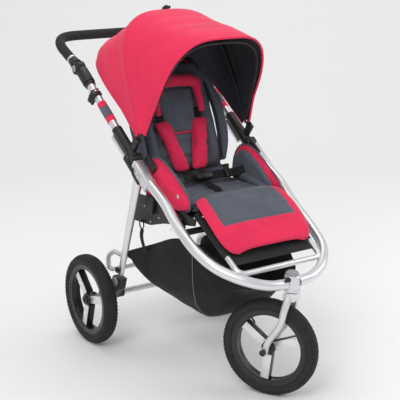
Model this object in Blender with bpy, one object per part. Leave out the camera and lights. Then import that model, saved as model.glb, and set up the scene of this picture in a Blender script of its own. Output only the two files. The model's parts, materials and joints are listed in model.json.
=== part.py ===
"""Three-wheel baby stroller, built as separate closed bodies in metres.

+Z is up, the stroller faces -Y and its left side (as the child sits) is +X.
Sizes along the stroller are measured from the rear axle while building; the
root empty then moves the whole model so that it stands centred on the origin.
"""
import math

import bmesh
import bpy
from mathutils import Matrix, Vector

# ---- overall sizes -------------------------------------------------------
WHEEL_RADIUS = 0.155
TYRE_WIDTH = 0.050
HALF_TRACK = 0.278
WHEELBASE = 0.743
STEER_TRAIL = 0.067
STEER_ANGLE = math.radians(28.5)
FRAME_HALF_WIDTH = 0.230
FRAME_TUBE_RADIUS = 0.016
HANDLE_TUBE_RADIUS = 0.014
LEG_RADIUS = 0.014
FIT_GAP = 0.0004

# ---- wheel sizes ---------------------------------------------------------
BEAD_RADIUS = WHEEL_RADIUS - 0.038
RIM_DEPTH = 0.012
RIM_HALF_WIDTH = 0.017
HUB_RADIUS = 0.021
HUB_HALF_WIDTH = 0.030
AXLE_RADIUS = 0.006
SPOKE_WIDTH = 0.028
SPOKE_HALF_DEPTH = 0.011
SPOKE_PLATE_THICKNESS = 0.002

# ---- front frame ---------------------------------------------------------
HEAD_Y = -WHEELBASE
HEAD_TOP = 0.397
HEAD_BOTTOM = 0.348
HEAD_RADIUS = 0.023
LOW_BAR_Z = 0.372

# ---- upper frame: direction from the fold hinge back and up to the handle --
UPPER_ANGLE = math.radians(36.0)
UPPER_LINE_Y = -0.207
UPPER_LINE_Z = 0.696
HANDLE_PIVOT_ALONG = 0.430
HANDLE_HALF_WIDTH = 0.227
GRIP_RADIUS = 0.017
BUTTON_RADIUS = 0.013

# ---- seat ----------------------------------------------------------------
SEAT_HALF_WIDTH = 0.150
BACK_ANGLE = math.radians(67.0)
BACK_PIVOT_Y = -0.173
BACK_PIVOT_Z = 0.600

# ---- canopy --------------------------------------------------------------
CANOPY_PIVOT_ALONG = -0.055
CANOPY_SKIN = 0.0040
CANOPY_FOOT_HALF = 0.2045
FLARE_REACH = 0.12

# ---- rear frame ----------------------------------------------------------
LEG_TOP_Y = -0.236
LEG_TOP_Z = 0.622
LEG_FOOT_Y = -0.112
LEG_FOOT_Z = 0.262
LEG_X = 0.212

# ---- basket --------------------------------------------------------------
BASKET_SKIN = 0.0035

ROUND_SIDES = 16
COLLECTION_NAME = "baby_stroller"
CUTTER_COLLECTION = "stroller_cutters"

MATERIALS = {}
PARENTS = {}


# ---- helpers -------------------------------------------------------------
def clear_scene():
    """Remove everything the startup file brings."""
    for thing in list(bpy.data.objects):
        bpy.data.objects.remove(thing, do_unlink=True)


def make_collections():
    """One collection for the model and a hidden one for cutting bodies."""
    model = bpy.data.collections.new(COLLECTION_NAME)
    cutters = bpy.data.collections.new(CUTTER_COLLECTION)
    bpy.context.scene.collection.children.link(model)
    bpy.context.scene.collection.children.link(cutters)
    return model, cutters


def add_material(name, color, metallic, roughness):
    """A plain Principled material, kept under a short key."""
    material = bpy.data.materials.new(name)
    material.use_nodes = True
    shader = material.node_tree.nodes["Principled BSDF"]
    shader.inputs["Base Color"].default_value = (*color, 1.0)
    shader.inputs["Metallic"].default_value = metallic
    shader.inputs["Roughness"].default_value = roughness
    material.diffuse_color = (*color, 1.0)
    MATERIALS[name] = material


def make_materials():
    """The finishes shared by the sub-parts."""
    add_material("aluminium", (0.62, 0.63, 0.65), 0.9, 0.35)
    add_material("cast_alloy", (0.55, 0.56, 0.57), 0.8, 0.4)
    add_material("rubber", (0.025, 0.025, 0.027), 0.0, 0.85)
    add_material("black_plastic", (0.02, 0.02, 0.022), 0.0, 0.5)
    add_material("foam", (0.015, 0.015, 0.016), 0.0, 0.9)
    add_material("pink_fabric", (0.85, 0.045, 0.13), 0.0, 0.85)
    add_material("grey_fabric", (0.13, 0.14, 0.18), 0.0, 0.9)
    add_material("black_fabric", (0.015, 0.015, 0.017), 0.0, 0.9)
    add_material("webbing", (0.012, 0.012, 0.013), 0.0, 0.8)


def empty(name, location, parent=None, turn=None):
    """An empty on a joint axis; its children turn or slide with it."""
    node = bpy.data.objects.new(name, None)
    bpy.data.collections[COLLECTION_NAME].objects.link(node)
    world = Matrix.Translation(Vector(location))
    if turn is not None:
        world = world @ turn
    PARENTS[name] = world
    if parent is not None:
        node.parent = parent
        world = PARENTS[parent.name].inverted() @ world
    node.matrix_local = world
    node.empty_display_size = 0.05
    return node


def place(obj, parent):
    """Hang an object on a joint empty without moving it in the world."""
    obj.parent = parent
    obj.matrix_parent_inverse = PARENTS[parent.name].inverted()


def finish_mesh(name, mesh_data, material, parent, cutter=False, flip_check=True):
    """Turn a bmesh into a named object with one material and outward faces."""
    if flip_check:
        bmesh.ops.recalc_face_normals(mesh_data, faces=mesh_data.faces[:])
    mesh = bpy.data.meshes.new(name)
    mesh_data.to_mesh(mesh)
    mesh_data.free()
    mesh.materials.append(MATERIALS[material])
    obj = bpy.data.objects.new(name, mesh)
    home = CUTTER_COLLECTION if cutter else COLLECTION_NAME
    bpy.data.collections[home].objects.link(obj)
    if cutter:
        obj.hide_render = True
        obj.display_type = "WIRE"
    if parent is not None:
        place(obj, parent)
    return obj


def add_loft(mesh_data, rings, ring_closed=False):
    """Skin a list of equal point rings; open lofts get flat end caps."""
    layers = [[mesh_data.verts.new(point) for point in ring] for ring in rings]
    count = len(layers[0])
    pairs = list(zip(layers, layers[1:]))
    if ring_closed:
        pairs.append((layers[-1], layers[0]))
    for lower, upper in pairs:
        for i in range(count):
            j = (i + 1) % count
            mesh_data.faces.new((lower[i], lower[j], upper[j], upper[i]))
    if not ring_closed:
        mesh_data.faces.new(layers[0][::-1])
        mesh_data.faces.new(layers[-1])


def loft(name, rings, material, parent, ring_closed=False, cutter=False):
    """One body skinned through rings of points."""
    mesh_data = bmesh.new()
    add_loft(mesh_data, rings, ring_closed)
    return finish_mesh(name, mesh_data, material, parent, cutter)


def rounded_path(corners, radius, steps=6):
    """Replace the inner corners of a polyline by arcs of about this radius."""
    points = [Vector(c) for c in corners]
    path = [points[0]]
    for before, here, after in zip(points, points[1:], points[2:]):
        back = (before - here)
        ahead = (after - here)
        angle = back.angle(ahead)
        if angle > math.radians(178.5):
            path.append(here)
            continue
        reach = radius / math.tan(angle / 2.0)
        reach = min(reach, 0.48 * back.length, 0.48 * ahead.length)
        start = here + back.normalized() * reach
        end = here + ahead.normalized() * reach
        for i in range(steps + 1):
            t = i / steps
            low = start.lerp(here, t)
            high = here.lerp(end, t)
            path.append(low.lerp(high, t))
    path.append(points[-1])
    return path


def path_rings(path, radii, sides=ROUND_SIDES, squash=1.0, start_side=None):
    """Rings of points square to a path, carried along without twist."""
    if not isinstance(radii, (list, tuple)):
        radii = [radii] * len(path)
    tangents = []
    for i in range(len(path)):
        ahead = path[min(i + 1, len(path) - 1)]
        behind = path[max(i - 1, 0)]
        tangents.append((ahead - behind).normalized())
    side = start_side or tangents[0].orthogonal()
    side = (side - tangents[0] * side.dot(tangents[0])).normalized()
    rings = []
    for point, tangent, radius in zip(path, tangents, radii):
        side = (side - tangent * side.dot(tangent)).normalized()
        up = tangent.cross(side)
        ring = []
        for k in range(sides):
            a = 2.0 * math.pi * k / sides
            ring.append(point + side * (math.cos(a) * radius)
                        + up * (math.sin(a) * radius * squash))
        rings.append(ring)
    return rings


def tube(name, corners, radius, material, parent, bend=0.05, sides=ROUND_SIDES,
         steps=6, cutter=False):
    """A round bar along a polyline whose corners are bent to an arc."""
    path = rounded_path(corners, bend, steps)
    return loft(name, path_rings(path, radius, sides), material, parent, cutter=cutter)


def add_turned(mesh_data, profile, centre, axis, sides=32, closed_profile=False):
    """Turn a (radius, along) profile about an axis through a centre."""
    axis = Vector(axis).normalized()
    side = axis.orthogonal().normalized()
    up = axis.cross(side)
    rows = []
    for k in range(sides):
        a = 2.0 * math.pi * k / sides
        out = side * math.cos(a) + up * math.sin(a)
        rows.append([Vector(centre) + out * r + axis * t for r, t in profile])
    if closed_profile:
        add_loft(mesh_data, rows, ring_closed=True)
        return
    rings = [[rows[k][i] for k in range(sides)] for i in range(len(profile))]
    add_loft(mesh_data, rings)


def turned(name, profile, centre, axis, material, parent, sides=32,
           closed_profile=False, cutter=False):
    """One turned body."""
    mesh_data = bmesh.new()
    add_turned(mesh_data, profile, centre, axis, sides, closed_profile)
    return finish_mesh(name, mesh_data, material, parent, cutter)


def block_rings(centre, half, rotation=None, corner=0.004, steps=2):
    """Rings of a box with rounded upright edges, built along its local Z."""
    rotation = rotation or Matrix.Identity(3)
    outline = rounded_outline(half[0], half[1], corner, steps)
    rings = []
    chamfer = min(corner, half[2] * 0.45)
    small = rounded_outline(half[0] - chamfer, half[1] - chamfer,
                            max(corner - chamfer, corner * 0.3), steps)
    levels = ((-half[2], small), (-half[2] + chamfer, outline),
              (half[2] - chamfer, outline), (half[2], small))
    for z, shape in levels:
        rings.append([Vector(centre) + rotation @ Vector((x, y, z)) for x, y in shape])
    return rings


def rounded_outline(half_x, half_y, corner, steps=2):
    """A rectangle outline with rounded corners, counter-clockwise."""
    corner = min(corner, half_x * 0.95, half_y * 0.95)
    outline = []
    for sx, sy, start in ((1, 1, 0.0), (-1, 1, 0.5), (-1, -1, 1.0), (1, -1, 1.5)):
        for i in range(steps + 1):
            a = math.pi * (start + 0.5 * i / steps)
            outline.append((sx * (half_x - corner) + corner * math.cos(a),
                            sy * (half_y - corner) + corner * math.sin(a)))
    return outline


def block(name, centre, half, material, parent, rotation=None, corner=0.004,
          steps=2, cutter=False):
    """A box with softened edges."""
    rings = block_rings(centre, half, rotation, corner, steps)
    return loft(name, rings, material, parent, cutter=cutter)


def combine(obj, others, operation="UNION"):
    """Join or cut with exact booleans kept as modifiers."""
    for other in others:
        step = obj.modifiers.new(operation.lower() + "_" + other.name, "BOOLEAN")
        step.operation = operation
        step.object = other
        step.solver = "EXACT"
    return obj


def along(angle, distance, lift=0.0):
    """Offset in the side plane: distance along a rising line, lift square to it."""
    dy = math.cos(angle) * distance - math.sin(angle) * lift
    dz = math.sin(angle) * distance + math.cos(angle) * lift
    return dy, dz


def upper_point(x, distance, lift=0.0):
    """A point on the upper tube line, measured from its lowest end."""
    dy, dz = along(UPPER_ANGLE, distance - 0.122, lift)
    return Vector((x, UPPER_LINE_Y + dy, UPPER_LINE_Z + dz))


def tilt(angle):
    """Rotation that lays local Y along a rising line in the side plane."""
    return Matrix.Rotation(angle, 3, "X")


def smooth_path(points, per=5):
    """A soft curve through the given points."""
    pts = [Vector(p) for p in points]
    ends = [pts[0] * 2 - pts[1]] + pts + [pts[-1] * 2 - pts[-2]]
    path = []
    for a, b, c, d in zip(ends, ends[1:], ends[2:], ends[3:]):
        for i in range(per):
            t = i / per
            path.append(0.5 * ((2 * b) + (c - a) * t + (2 * a - 5 * b + 4 * c - d) * t * t
                               + (3 * b - a - 3 * c + d) * t ** 3))
    path.append(pts[-1])
    return path


def slab(name, outline, x_from, x_to, material, parent, cutter=False):
    """A flat plate: a side-view outline of (y, z) given a thickness across X."""
    low, high = sorted((x_from, x_to))
    rings = [[Vector((x, y, z)) for y, z in outline] for x in (low, high)]
    return loft(name, rings, material, parent, cutter=cutter)


def ribbon(name, path, across, width, thickness, material, parent):
    """A flat strap along a path; across is its width direction."""
    across = Vector(across).normalized()
    rings = []
    for i, point in enumerate(path):
        ahead = path[min(i + 1, len(path) - 1)] - path[max(i - 1, 0)]
        face = ahead.normalized().cross(across).normalized()
        w = across * (width / 2)
        t = face * (thickness / 2)
        rings.append([point - w - t, point + w - t, point + w + t, point - w + t])
    return loft(name, rings, material, parent)


def side_name(side):
    """+X is the left side as the child sits."""
    return "left" if side > 0 else "right"


def back_point(x, distance, lift=0.0):
    """A point on the backrest: distance up from its hinge, lift towards the child."""
    dy, dz = along(BACK_ANGLE, distance, lift)
    return Vector((x, BACK_PIVOT_Y + dy, BACK_PIVOT_Z + dz))


# ---- wheels --------------------------------------------------------------
def build_wheel(prefix, centre, out, phase, through, parent):
    """Tyre, rim with hub and three spokes, and the bright spoke plates."""
    axis = Vector((out, 0, 0))
    r_out = WHEEL_RADIUS
    half = TYRE_WIDTH / 2
    bead = BEAD_RADIUS
    tyre = [(bead, -0.6 * half), (bead + 0.012, -0.92 * half), (r_out - 0.020, -half),
            (r_out - 0.008, -0.84 * half), (r_out - 0.0015, -0.45 * half), (r_out, 0),
            (r_out - 0.0015, 0.45 * half), (r_out - 0.008, 0.84 * half),
            (r_out - 0.020, half), (bead + 0.012, 0.92 * half), (bead, 0.6 * half)]
    turned(prefix + "_tyre", tyre, centre, axis, "rubber", parent, 48, True)

    outer = bead - FIT_GAP
    inner = bead - RIM_DEPTH
    w = RIM_HALF_WIDTH
    ring = [(outer, -0.85 * w), (outer, 0.85 * w), (outer - 0.003, w), (inner + 0.002, w),
            (inner, 0.8 * w), (inner, -0.8 * w), (inner + 0.002, -w), (outer - 0.003, -w)]
    rim = turned(prefix + "_rim", ring, centre, axis, "black_plastic", parent, 48, True)

    bore = AXLE_RADIUS + FIT_GAP
    hw = HUB_HALF_WIDTH
    if through:
        hub_shape = [(bore, -hw), (HUB_RADIUS, -hw), (HUB_RADIUS, hw), (bore, hw)]
        hub = turned(prefix + "_hub_body", hub_shape, centre, axis, "black_plastic",
                     parent, 24, True, cutter=True)
    else:
        hub_shape = [(bore, hw - 0.004), (bore, -hw), (HUB_RADIUS, -hw),
                     (HUB_RADIUS, hw - 0.004), (HUB_RADIUS * 0.8, hw + 0.002)]
        hub = turned(prefix + "_hub_body", hub_shape, centre, axis, "black_plastic",
                     parent, 24, False, cutter=True)
    spokes = []
    for k in range(3):
        a = phase + 2.0 * math.pi * k / 3
        spoke_dir = Vector((0, -math.cos(a), math.sin(a)))
        reach_from = HUB_RADIUS - 0.004
        reach_to = inner + 0.003
        middle = Vector(centre) + spoke_dir * (0.5 * (reach_from + reach_to))
        turn = Matrix((axis, spoke_dir.cross(axis), spoke_dir)).transposed()
        spokes.append(block(prefix + "_spoke_body_%d" % (k + 1), middle,
                            (SPOKE_HALF_DEPTH, 0.4 * SPOKE_WIDTH,
                             0.5 * (reach_to - reach_from)),
                            "black_plastic", parent, turn, 0.002, 1, cutter=True))
    combine(rim, [hub] + spokes)

    face = SPOKE_HALF_DEPTH + FIT_GAP
    low = Vector(centre) + axis * face
    high = Vector(centre) + axis * (face + SPOKE_PLATE_THICKNESS)
    outline = []
    tip = inner - 0.003
    arm = SPOKE_WIDTH / 2
    for k in range(3):
        a = phase + 2.0 * math.pi * k / 3
        along_arm = Vector((0, -math.cos(a), math.sin(a)))
        across = Vector((0, math.sin(a), math.cos(a)))
        notch = math.cos(math.radians(60)) * along_arm + math.sin(math.radians(60)) * across
        outline.append(along_arm * tip - across * arm)
        outline.append(along_arm * tip + across * arm)
        outline.append(along_arm * (HUB_RADIUS + 0.008) + across * arm)
        outline.append(notch * (HUB_RADIUS + 0.006))
        next_a = a + 2.0 * math.pi / 3
        next_arm = Vector((0, -math.cos(next_a), math.sin(next_a)))
        next_across = Vector((0, math.sin(next_a), math.cos(next_a)))
        outline.append(next_arm * (HUB_RADIUS + 0.008) - next_across * arm)
    star_rings = [[low + p for p in outline], [high + p for p in outline]]
    star = loft(prefix + "_spoke_plates", star_rings, "aluminium", parent)
    eye_shape = [(HUB_RADIUS + FIT_GAP, face - 0.01), (HUB_RADIUS + FIT_GAP, face + 0.01)]
    eye = turned(prefix + "_plate_eye", eye_shape, centre, axis, "aluminium", parent,
                 24, False, cutter=True)
    combine(star, [eye], "DIFFERENCE")


# ---- steering fork -------------------------------------------------------
def build_fork(parent):
    """Crown, pin and two swept legs, all one welded piece, and the axle bolt."""
    leg_x = TYRE_WIDTH / 2 + 0.017
    axle_y = HEAD_Y + STEER_TRAIL
    fork = block("front_fork", (0, HEAD_Y, HEAD_BOTTOM - 0.018), (0.030, 0.019, 0.015),
                 "cast_alloy", parent, corner=0.008, steps=3)
    extras = []
    for side in (1, -1):
        corners = [(side * 0.022, HEAD_Y + 0.002, HEAD_BOTTOM - 0.016),
                   (side * (leg_x - 0.001), HEAD_Y + 0.006, HEAD_BOTTOM - 0.050),
                   (side * leg_x, HEAD_Y + 0.020, HEAD_BOTTOM - 0.105),
                   (side * leg_x, axle_y - 0.010, WHEEL_RADIUS + 0.030),
                   (side * leg_x, axle_y + 0.002, WHEEL_RADIUS - 0.014)]
        path = smooth_path(corners, 4)
        radii = [0.0115 - 0.002 * i / (len(path) - 1) for i in range(len(path))]
        leg = loft("fork_leg_body_" + side_name(side), path_rings(path, radii, 12),
                   "cast_alloy", parent, cutter=True)
        extras.append(leg)
    pin_top = HEAD_TOP - 0.012
    pin_shape = [(0.008, -0.030), (0.008, pin_top - HEAD_BOTTOM)]
    pin = turned("fork_pin_body", pin_shape, (0, HEAD_Y, HEAD_BOTTOM), (0, 0, 1),
                 "cast_alloy", parent, 16, cutter=True)
    combine(fork, extras + [pin])
    hole_shape = [(AXLE_RADIUS + FIT_GAP, -0.08), (AXLE_RADIUS + FIT_GAP, 0.08)]
    hole = turned("fork_axle_hole", hole_shape, (0, axle_y, WHEEL_RADIUS), (1, 0, 0),
                  "cast_alloy", parent, 16, cutter=True)
    combine(fork, [hole], "DIFFERENCE")
    reach = leg_x + 0.0125
    bolt = [(0.010, -reach - 0.008), (0.010, -reach), (AXLE_RADIUS, -reach),
            (AXLE_RADIUS, reach), (0.010, reach), (0.010, reach + 0.008)]
    turned("front_axle_bolt", bolt, (0, axle_y, WHEEL_RADIUS), (1, 0, 0),
           "black_plastic", parent, 16)


# ---- front frame ---------------------------------------------------------
def build_steering_head(parent):
    """Cast head with a blind bore for the fork pin."""
    bore = 0.008 + FIT_GAP
    shape = [(bore, HEAD_TOP - 0.010 - HEAD_BOTTOM), (bore, 0.0), (HEAD_RADIUS - 0.002, 0.0),
             (HEAD_RADIUS, 0.004), (HEAD_RADIUS, HEAD_TOP - HEAD_BOTTOM - 0.003),
             (HEAD_RADIUS - 0.003, HEAD_TOP - HEAD_BOTTOM)]
    turned("steering_head", shape, (0, HEAD_Y, HEAD_BOTTOM), (0, 0, 1), "cast_alloy",
           parent, 24)


def build_head_cap(parent):
    """Turning cap on the head that locks the swivel."""
    shape = [(HEAD_RADIUS, FIT_GAP), (HEAD_RADIUS + 0.001, 0.004),
             (HEAD_RADIUS - 0.002, 0.010), (HEAD_RADIUS - 0.008, 0.012)]
    turned("swivel_lock_cap", shape, (0, HEAD_Y, HEAD_TOP), (0, 0, 1), "black_plastic",
           parent, 24)


def build_frame_tube(side, parent):
    """One half of the bowed front tube, from the fold bracket to the head."""
    w = FRAME_HALF_WIDTH
    start = upper_point(0, -0.012, 0.006)
    corners = [(side * w, start.y, start.z), (side * w, -0.401, 0.578),
               (side * w, -0.472, 0.521), (side * (w - 0.003), -0.560, 0.467),
               (side * (w - 0.025), -0.642, 0.427), (side * 0.150, -0.706, 0.397),
               (side * 0.085, -0.738, 0.378), (side * (HEAD_RADIUS + FIT_GAP), HEAD_Y, LOW_BAR_Z)]
    path = smooth_path(corners, 4)
    tube_rings = path_rings(path, FRAME_TUBE_RADIUS, ROUND_SIDES)
    for point in tube_rings[-1]:
        point.x = side * (HEAD_RADIUS + FIT_GAP)
    loft("front_frame_tube_" + side_name(side), tube_rings, "aluminium", parent)


def build_fold_bracket(side, parent):
    """Housing where the front tube, rear leg and upper frame come together."""
    x = side * (FRAME_HALF_WIDTH + 0.002)
    turn = tilt(UPPER_ANGLE)
    body = block("fold_bracket_" + side_name(side), upper_point(x, 0.035, 0.0),
                 (0.016, 0.042, 0.016), "cast_alloy", parent, turn, 0.005)
    ear_x = side * 0.222
    ear = block("hinge_ear_body_" + side_name(side), upper_point(ear_x, 0.052, 0.031),
                (0.006, 0.013, 0.024), "cast_alloy", parent, turn, 0.004, cutter=True)
    leg_ear = block("leg_ear_body_" + side_name(side),
                    upper_point(side * 0.2445, 0.055, -0.032), (0.0035, 0.013, 0.026),
                    "cast_alloy", parent, turn, 0.004, cutter=True)
    combine(body, [ear, leg_ear])


def build_side_plate(side, parent):
    """Flat black plate that carries the seat beside the frame."""
    outline = [(-0.158, 0.552), (-0.150, 0.458), (-0.250, 0.464), (-0.330, 0.488),
               (-0.420, 0.506), (-0.500, 0.520), (-0.505, 0.540), (-0.400, 0.556),
               (-0.300, 0.562)]
    slab("seat_side_plate_" + side_name(side), outline, side * 0.182, side * 0.187,
         "black_plastic", parent)


def build_seat_cross_tube(parent):
    """Cross tube under the front of the seat."""
    reach = FRAME_HALF_WIDTH - FRAME_TUBE_RADIUS - 0.0005
    tube("seat_cross_tube", [(-reach, -0.478, 0.498), (reach, -0.478, 0.498)], 0.010,
         "black_plastic", parent, sides=12)


def build_basket(parent):
    """Sagging fabric basket: an open shell hung under the seat."""
    stations = [(-0.062, 0.318, 0.282, 0.160), (-0.110, 0.338, 0.246, 0.164),
                (-0.180, 0.366, 0.216, 0.166), (-0.260, 0.399, 0.200, 0.166),
                (-0.350, 0.436, 0.191, 0.166), (-0.430, 0.450, 0.188, 0.162),
                (-0.470, 0.446, 0.194, 0.156), (-0.530, 0.420, 0.232, 0.140),
                (-0.590, 0.395, 0.305, 0.120), (-0.640, 0.375, 0.334, 0.095)]
    rings = []
    for y, top, bottom, half in stations:
        rings.append(basket_ring(y, top, bottom, half))
    skin = BASKET_SKIN
    for y, top, bottom, half in reversed(stations):
        inset_y = y
        if y == stations[0][0]:
            inset_y = y - skin
        if y == stations[-1][0]:
            inset_y = y + skin
        rings.append(basket_ring(inset_y, top, bottom + skin, half - skin))
    mesh_data = bmesh.new()
    add_basket_shell(mesh_data, rings, len(stations))
    finish_mesh("storage_basket", mesh_data, "black_fabric", parent)


def basket_ring(y, top, bottom, half):
    """An open U of points across the basket at one station."""
    points = []
    steps = 12
    for i in range(steps + 1):
        a = math.pi * i / steps
        c = math.cos(a)
        s = math.sin(a)
        x = half * math.copysign(abs(c) ** 0.45, c)
        z = top - (top - bottom) * s ** 0.45
        points.append(Vector((x, y, z)))
    return points


def add_basket_shell(mesh_data, rings, count):
    """Join outer and inner U rings into one closed skin with end walls."""
    outer = [[mesh_data.verts.new(p) for p in ring] for ring in rings[:count]]
    inner = [[mesh_data.verts.new(p) for p in ring] for ring in rings[count:]][::-1]
    last = len(outer[0]) - 1
    for layer in (outer, inner):
        for low, high in zip(layer, layer[1:]):
            for i in range(last):
                mesh_data.faces.new((low[i], low[i + 1], high[i + 1], high[i]))
        mesh_data.faces.new(layer[0])
        mesh_data.faces.new(layer[-1])
    for edge in (0, last):
        for i in range(count - 1):
            mesh_data.faces.new((outer[i][edge], outer[i + 1][edge],
                                 inner[i + 1][edge], inner[i][edge]))
    mesh_data.faces.new((outer[0][0], outer[0][last], inner[0][last], inner[0][0]))
    mesh_data.faces.new((outer[-1][0], outer[-1][last], inner[-1][last], inner[-1][0]))


# ---- seat on the frame ---------------------------------------------------
def build_seat(parent):
    """Cushion, side wings, harness buckle and waist straps."""
    block("seat_cushion", (0, -0.330, 0.553), (SEAT_HALF_WIDTH, 0.118, 0.019),
          "grey_fabric", parent, corner=0.016, steps=3)
    for side in (1, -1):
        outline = [(-0.215, 0.566), (-0.205, 0.640), (-0.240, 0.706), (-0.285, 0.722),
                   (-0.340, 0.700), (-0.400, 0.655), (-0.445, 0.618), (-0.462, 0.590),
                   (-0.450, 0.566)]
        slab("side_wing_" + side_name(side), outline, side * 0.160, side * 0.190,
             "pink_fabric", parent)
    block("harness_buckle", (0, -0.275, 0.602), (0.026, 0.016, 0.010), "black_plastic",
          parent, tilt(math.radians(-35)), 0.006)
    for side in (1, -1):
        strap = smooth_path([(side * 0.0275, -0.276, 0.602), (side * 0.090, -0.284, 0.606),
                             (side * 0.157, -0.306, 0.618)], 3)
        ribbon("waist_strap_" + side_name(side), strap, (0, -0.4, 0.9), 0.026, 0.003,
               "webbing", parent)


def build_footrest(parent):
    """Bent tube with a fabric calf panel, and the padded apron lying over it."""
    w = FRAME_HALF_WIDTH - 0.072
    front_y = -0.722 + 2.0 * FRAME_TUBE_RADIUS
    front_z = 0.3992 + 0.8 * FRAME_TUBE_RADIUS
    corners = [(-w, -0.470, 0.5445), (-w, -0.640, 0.444), (-w + 0.008, front_y, front_z),
               (w - 0.008, front_y, front_z), (w, -0.640, 0.444), (w, -0.470, 0.5445)]
    tube("footrest_tube", corners, 0.0085, "aluminium", parent, bend=0.035, sides=12)
    rise = math.radians(30.6)
    panel_middle = (0, -0.566, 0.4885)
    block("calf_panel", panel_middle, (w - 0.0105, 0.094, 0.003), "black_fabric", parent,
          tilt(rise), 0.003)
    apron_rings = []
    stations = [(-0.452, 0.592, 0.150, 0.010), (-0.480, 0.590, 0.166, 0.011),
                (-0.520, 0.572, 0.174, 0.011), (-0.560, 0.546, 0.176, 0.011),
                (-0.600, 0.515, 0.176, 0.010), (-0.632, 0.486, 0.172, 0.010),
                (-0.652, 0.464, 0.160, 0.009), (-0.660, 0.455, 0.140, 0.006)]
    for i, (y, z, half, thick) in enumerate(stations):
        ahead = stations[min(i + 1, len(stations) - 1)]
        behind = stations[max(i - 1, 0)]
        slope = Vector((0, ahead[0] - behind[0], ahead[1] - behind[1])).normalized()
        normal = Vector((0, -slope.z, slope.y))
        if normal.z < 0:
            normal = -normal
        ring = []
        for x, t in rounded_outline(half, thick * 0.75, thick * 0.7, 3):
            ring.append(Vector((x, y, z)) + normal * t)
        apron_rings.append(ring)
    loft("leg_apron", apron_rings, "pink_fabric", parent)


# ---- upper frame ---------------------------------------------------------
def build_upper_frame(side, parent):
    """Tube, hinge collar, canopy mount and handle pivot housing of one side."""
    name = side_name(side)
    x = side * HANDLE_HALF_WIDTH
    line = upper_point(x, 1.0) - upper_point(x, 0.0)
    tube("upper_tube_" + name, [upper_point(x, 0.082), upper_point(x, 0.502)],
         HANDLE_TUBE_RADIUS, "aluminium", parent, sides=ROUND_SIDES)
    bore = HANDLE_TUBE_RADIUS + FIT_GAP
    ring = [(bore, 0.0), (0.0195, 0.0), (0.0205, 0.004), (0.0205, 0.028), (0.0195, 0.032),
            (bore, 0.032)]
    collar = turned("hinge_collar_" + name, ring, upper_point(x, 0.0795), line,
                    "black_plastic", parent, 20, True)
    arm_middle = upper_point(side * 0.2035, 0.075, 0.028)
    arm = block("collar_arm_body_" + name, arm_middle, (0.0055, 0.036, 0.011),
                "black_plastic", parent, tilt(UPPER_ANGLE - math.radians(32)), 0.004,
                cutter=True)
    combine(collar, [arm])
    block("canopy_mount_" + name, upper_point(x, CANOPY_PIVOT_ALONG + 0.1825, 0.0405),
          (0.007, 0.013, 0.0235), "black_plastic", parent, tilt(UPPER_ANGLE), 0.004)
    pivot = upper_point(side * 0.230, HANDLE_PIVOT_ALONG + 0.099, 0.0)
    shape = [(0.020, -0.015), (0.023, -0.012), (0.023, 0.012), (0.020, 0.015),
             (BUTTON_RADIUS + FIT_GAP, 0.015), (BUTTON_RADIUS + FIT_GAP, 0.0105)]
    turned("handle_pivot_" + name, shape, pivot, (side, 0, 0), "black_plastic", parent, 24)


def build_fold_latch(side, parent):
    """Sliding silver housing under the lower end of the upper tube."""
    x = side * HANDLE_HALF_WIDTH
    block("fold_latch_" + side_name(side), upper_point(x, 0.182, -0.0265),
          (0.012, 0.052, 0.0085), "aluminium", parent, tilt(UPPER_ANGLE), 0.004)


def build_handle_button(side, parent):
    """Round push button on the outside of a handle pivot."""
    pivot = upper_point(side * 0.244, HANDLE_PIVOT_ALONG + 0.099, 0.0)
    shape = [(BUTTON_RADIUS, 0.0), (BUTTON_RADIUS, 0.005), (BUTTON_RADIUS - 0.003, 0.007)]
    turned("handle_button_" + side_name(side), shape, pivot, (side, 0, 0),
           "black_plastic", parent, 20)


def handle_path():
    """Centre line of the handle loop from one pivot round to the other."""
    pivot = upper_point(0, HANDLE_PIVOT_ALONG + 0.099, 0.0)
    near = [(0.230, pivot.y + 0.0215, pivot.z + 0.0115), (0.230, 0.195, 0.972),
            (0.230, 0.282, 1.012), (0.195, 0.318, 1.024), (0.120, 0.322, 1.026)]
    mirrored = [(-x, y, z) for x, y, z in near[::-1]]
    return near + mirrored


def build_handle(parent):
    """Bent handle tube and the foam grip sleeved on it."""
    path = rounded_path(handle_path(), 0.055, 5)
    tube_radius = 0.0115
    loft("handle_tube", path_rings(path, tube_radius, 12), "aluminium", parent)
    grip_path = [p for p in path if p.y > 0.165]
    outer = path_rings(grip_path, GRIP_RADIUS, 12)
    bore = path_rings(grip_path, tube_radius + FIT_GAP, 12)
    loft("foam_grip", outer + bore[::-1], "foam", parent, ring_closed=True)


# ---- backrest ------------------------------------------------------------
def build_backrest(parent):
    """Back board, quilted cushion, head roll and shoulder pads."""
    turn = tilt(BACK_ANGLE)
    half = SEAT_HALF_WIDTH - 0.004
    block("back_board", back_point(0, 0.180, -0.013), (half, 0.168, 0.003),
          "black_plastic", parent, turn, 0.003)
    block("back_cushion", back_point(0, 0.190, 0.0125), (half, 0.180, 0.020),
          "grey_fabric", parent, turn, 0.016, 3)
    roll = [back_point(-0.086, 0.194, 0.055), back_point(-0.084, 0.276, 0.058),
            back_point(-0.058, 0.300, 0.060), back_point(0.058, 0.300, 0.060),
            back_point(0.084, 0.276, 0.058), back_point(0.086, 0.194, 0.055)]
    tube("headrest_roll", roll, 0.0195, "pink_fabric", parent, bend=0.03, sides=12)
    for side in (1, -1):
        top = back_point(side * 0.075, 0.168, 0.0425)
        low = back_point(side * 0.035, 0.004, 0.0425)
        middle = (top + low) / 2
        lean = math.atan2((top - low).x, (top - low).length)
        pad_turn = turn @ Matrix.Rotation(-lean, 3, "Z")
        block("shoulder_pad_" + side_name(side), middle,
              (0.029, 0.5 * (top - low).length, 0.0085), "pink_fabric", parent,
              pad_turn, 0.008, 3)


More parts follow.
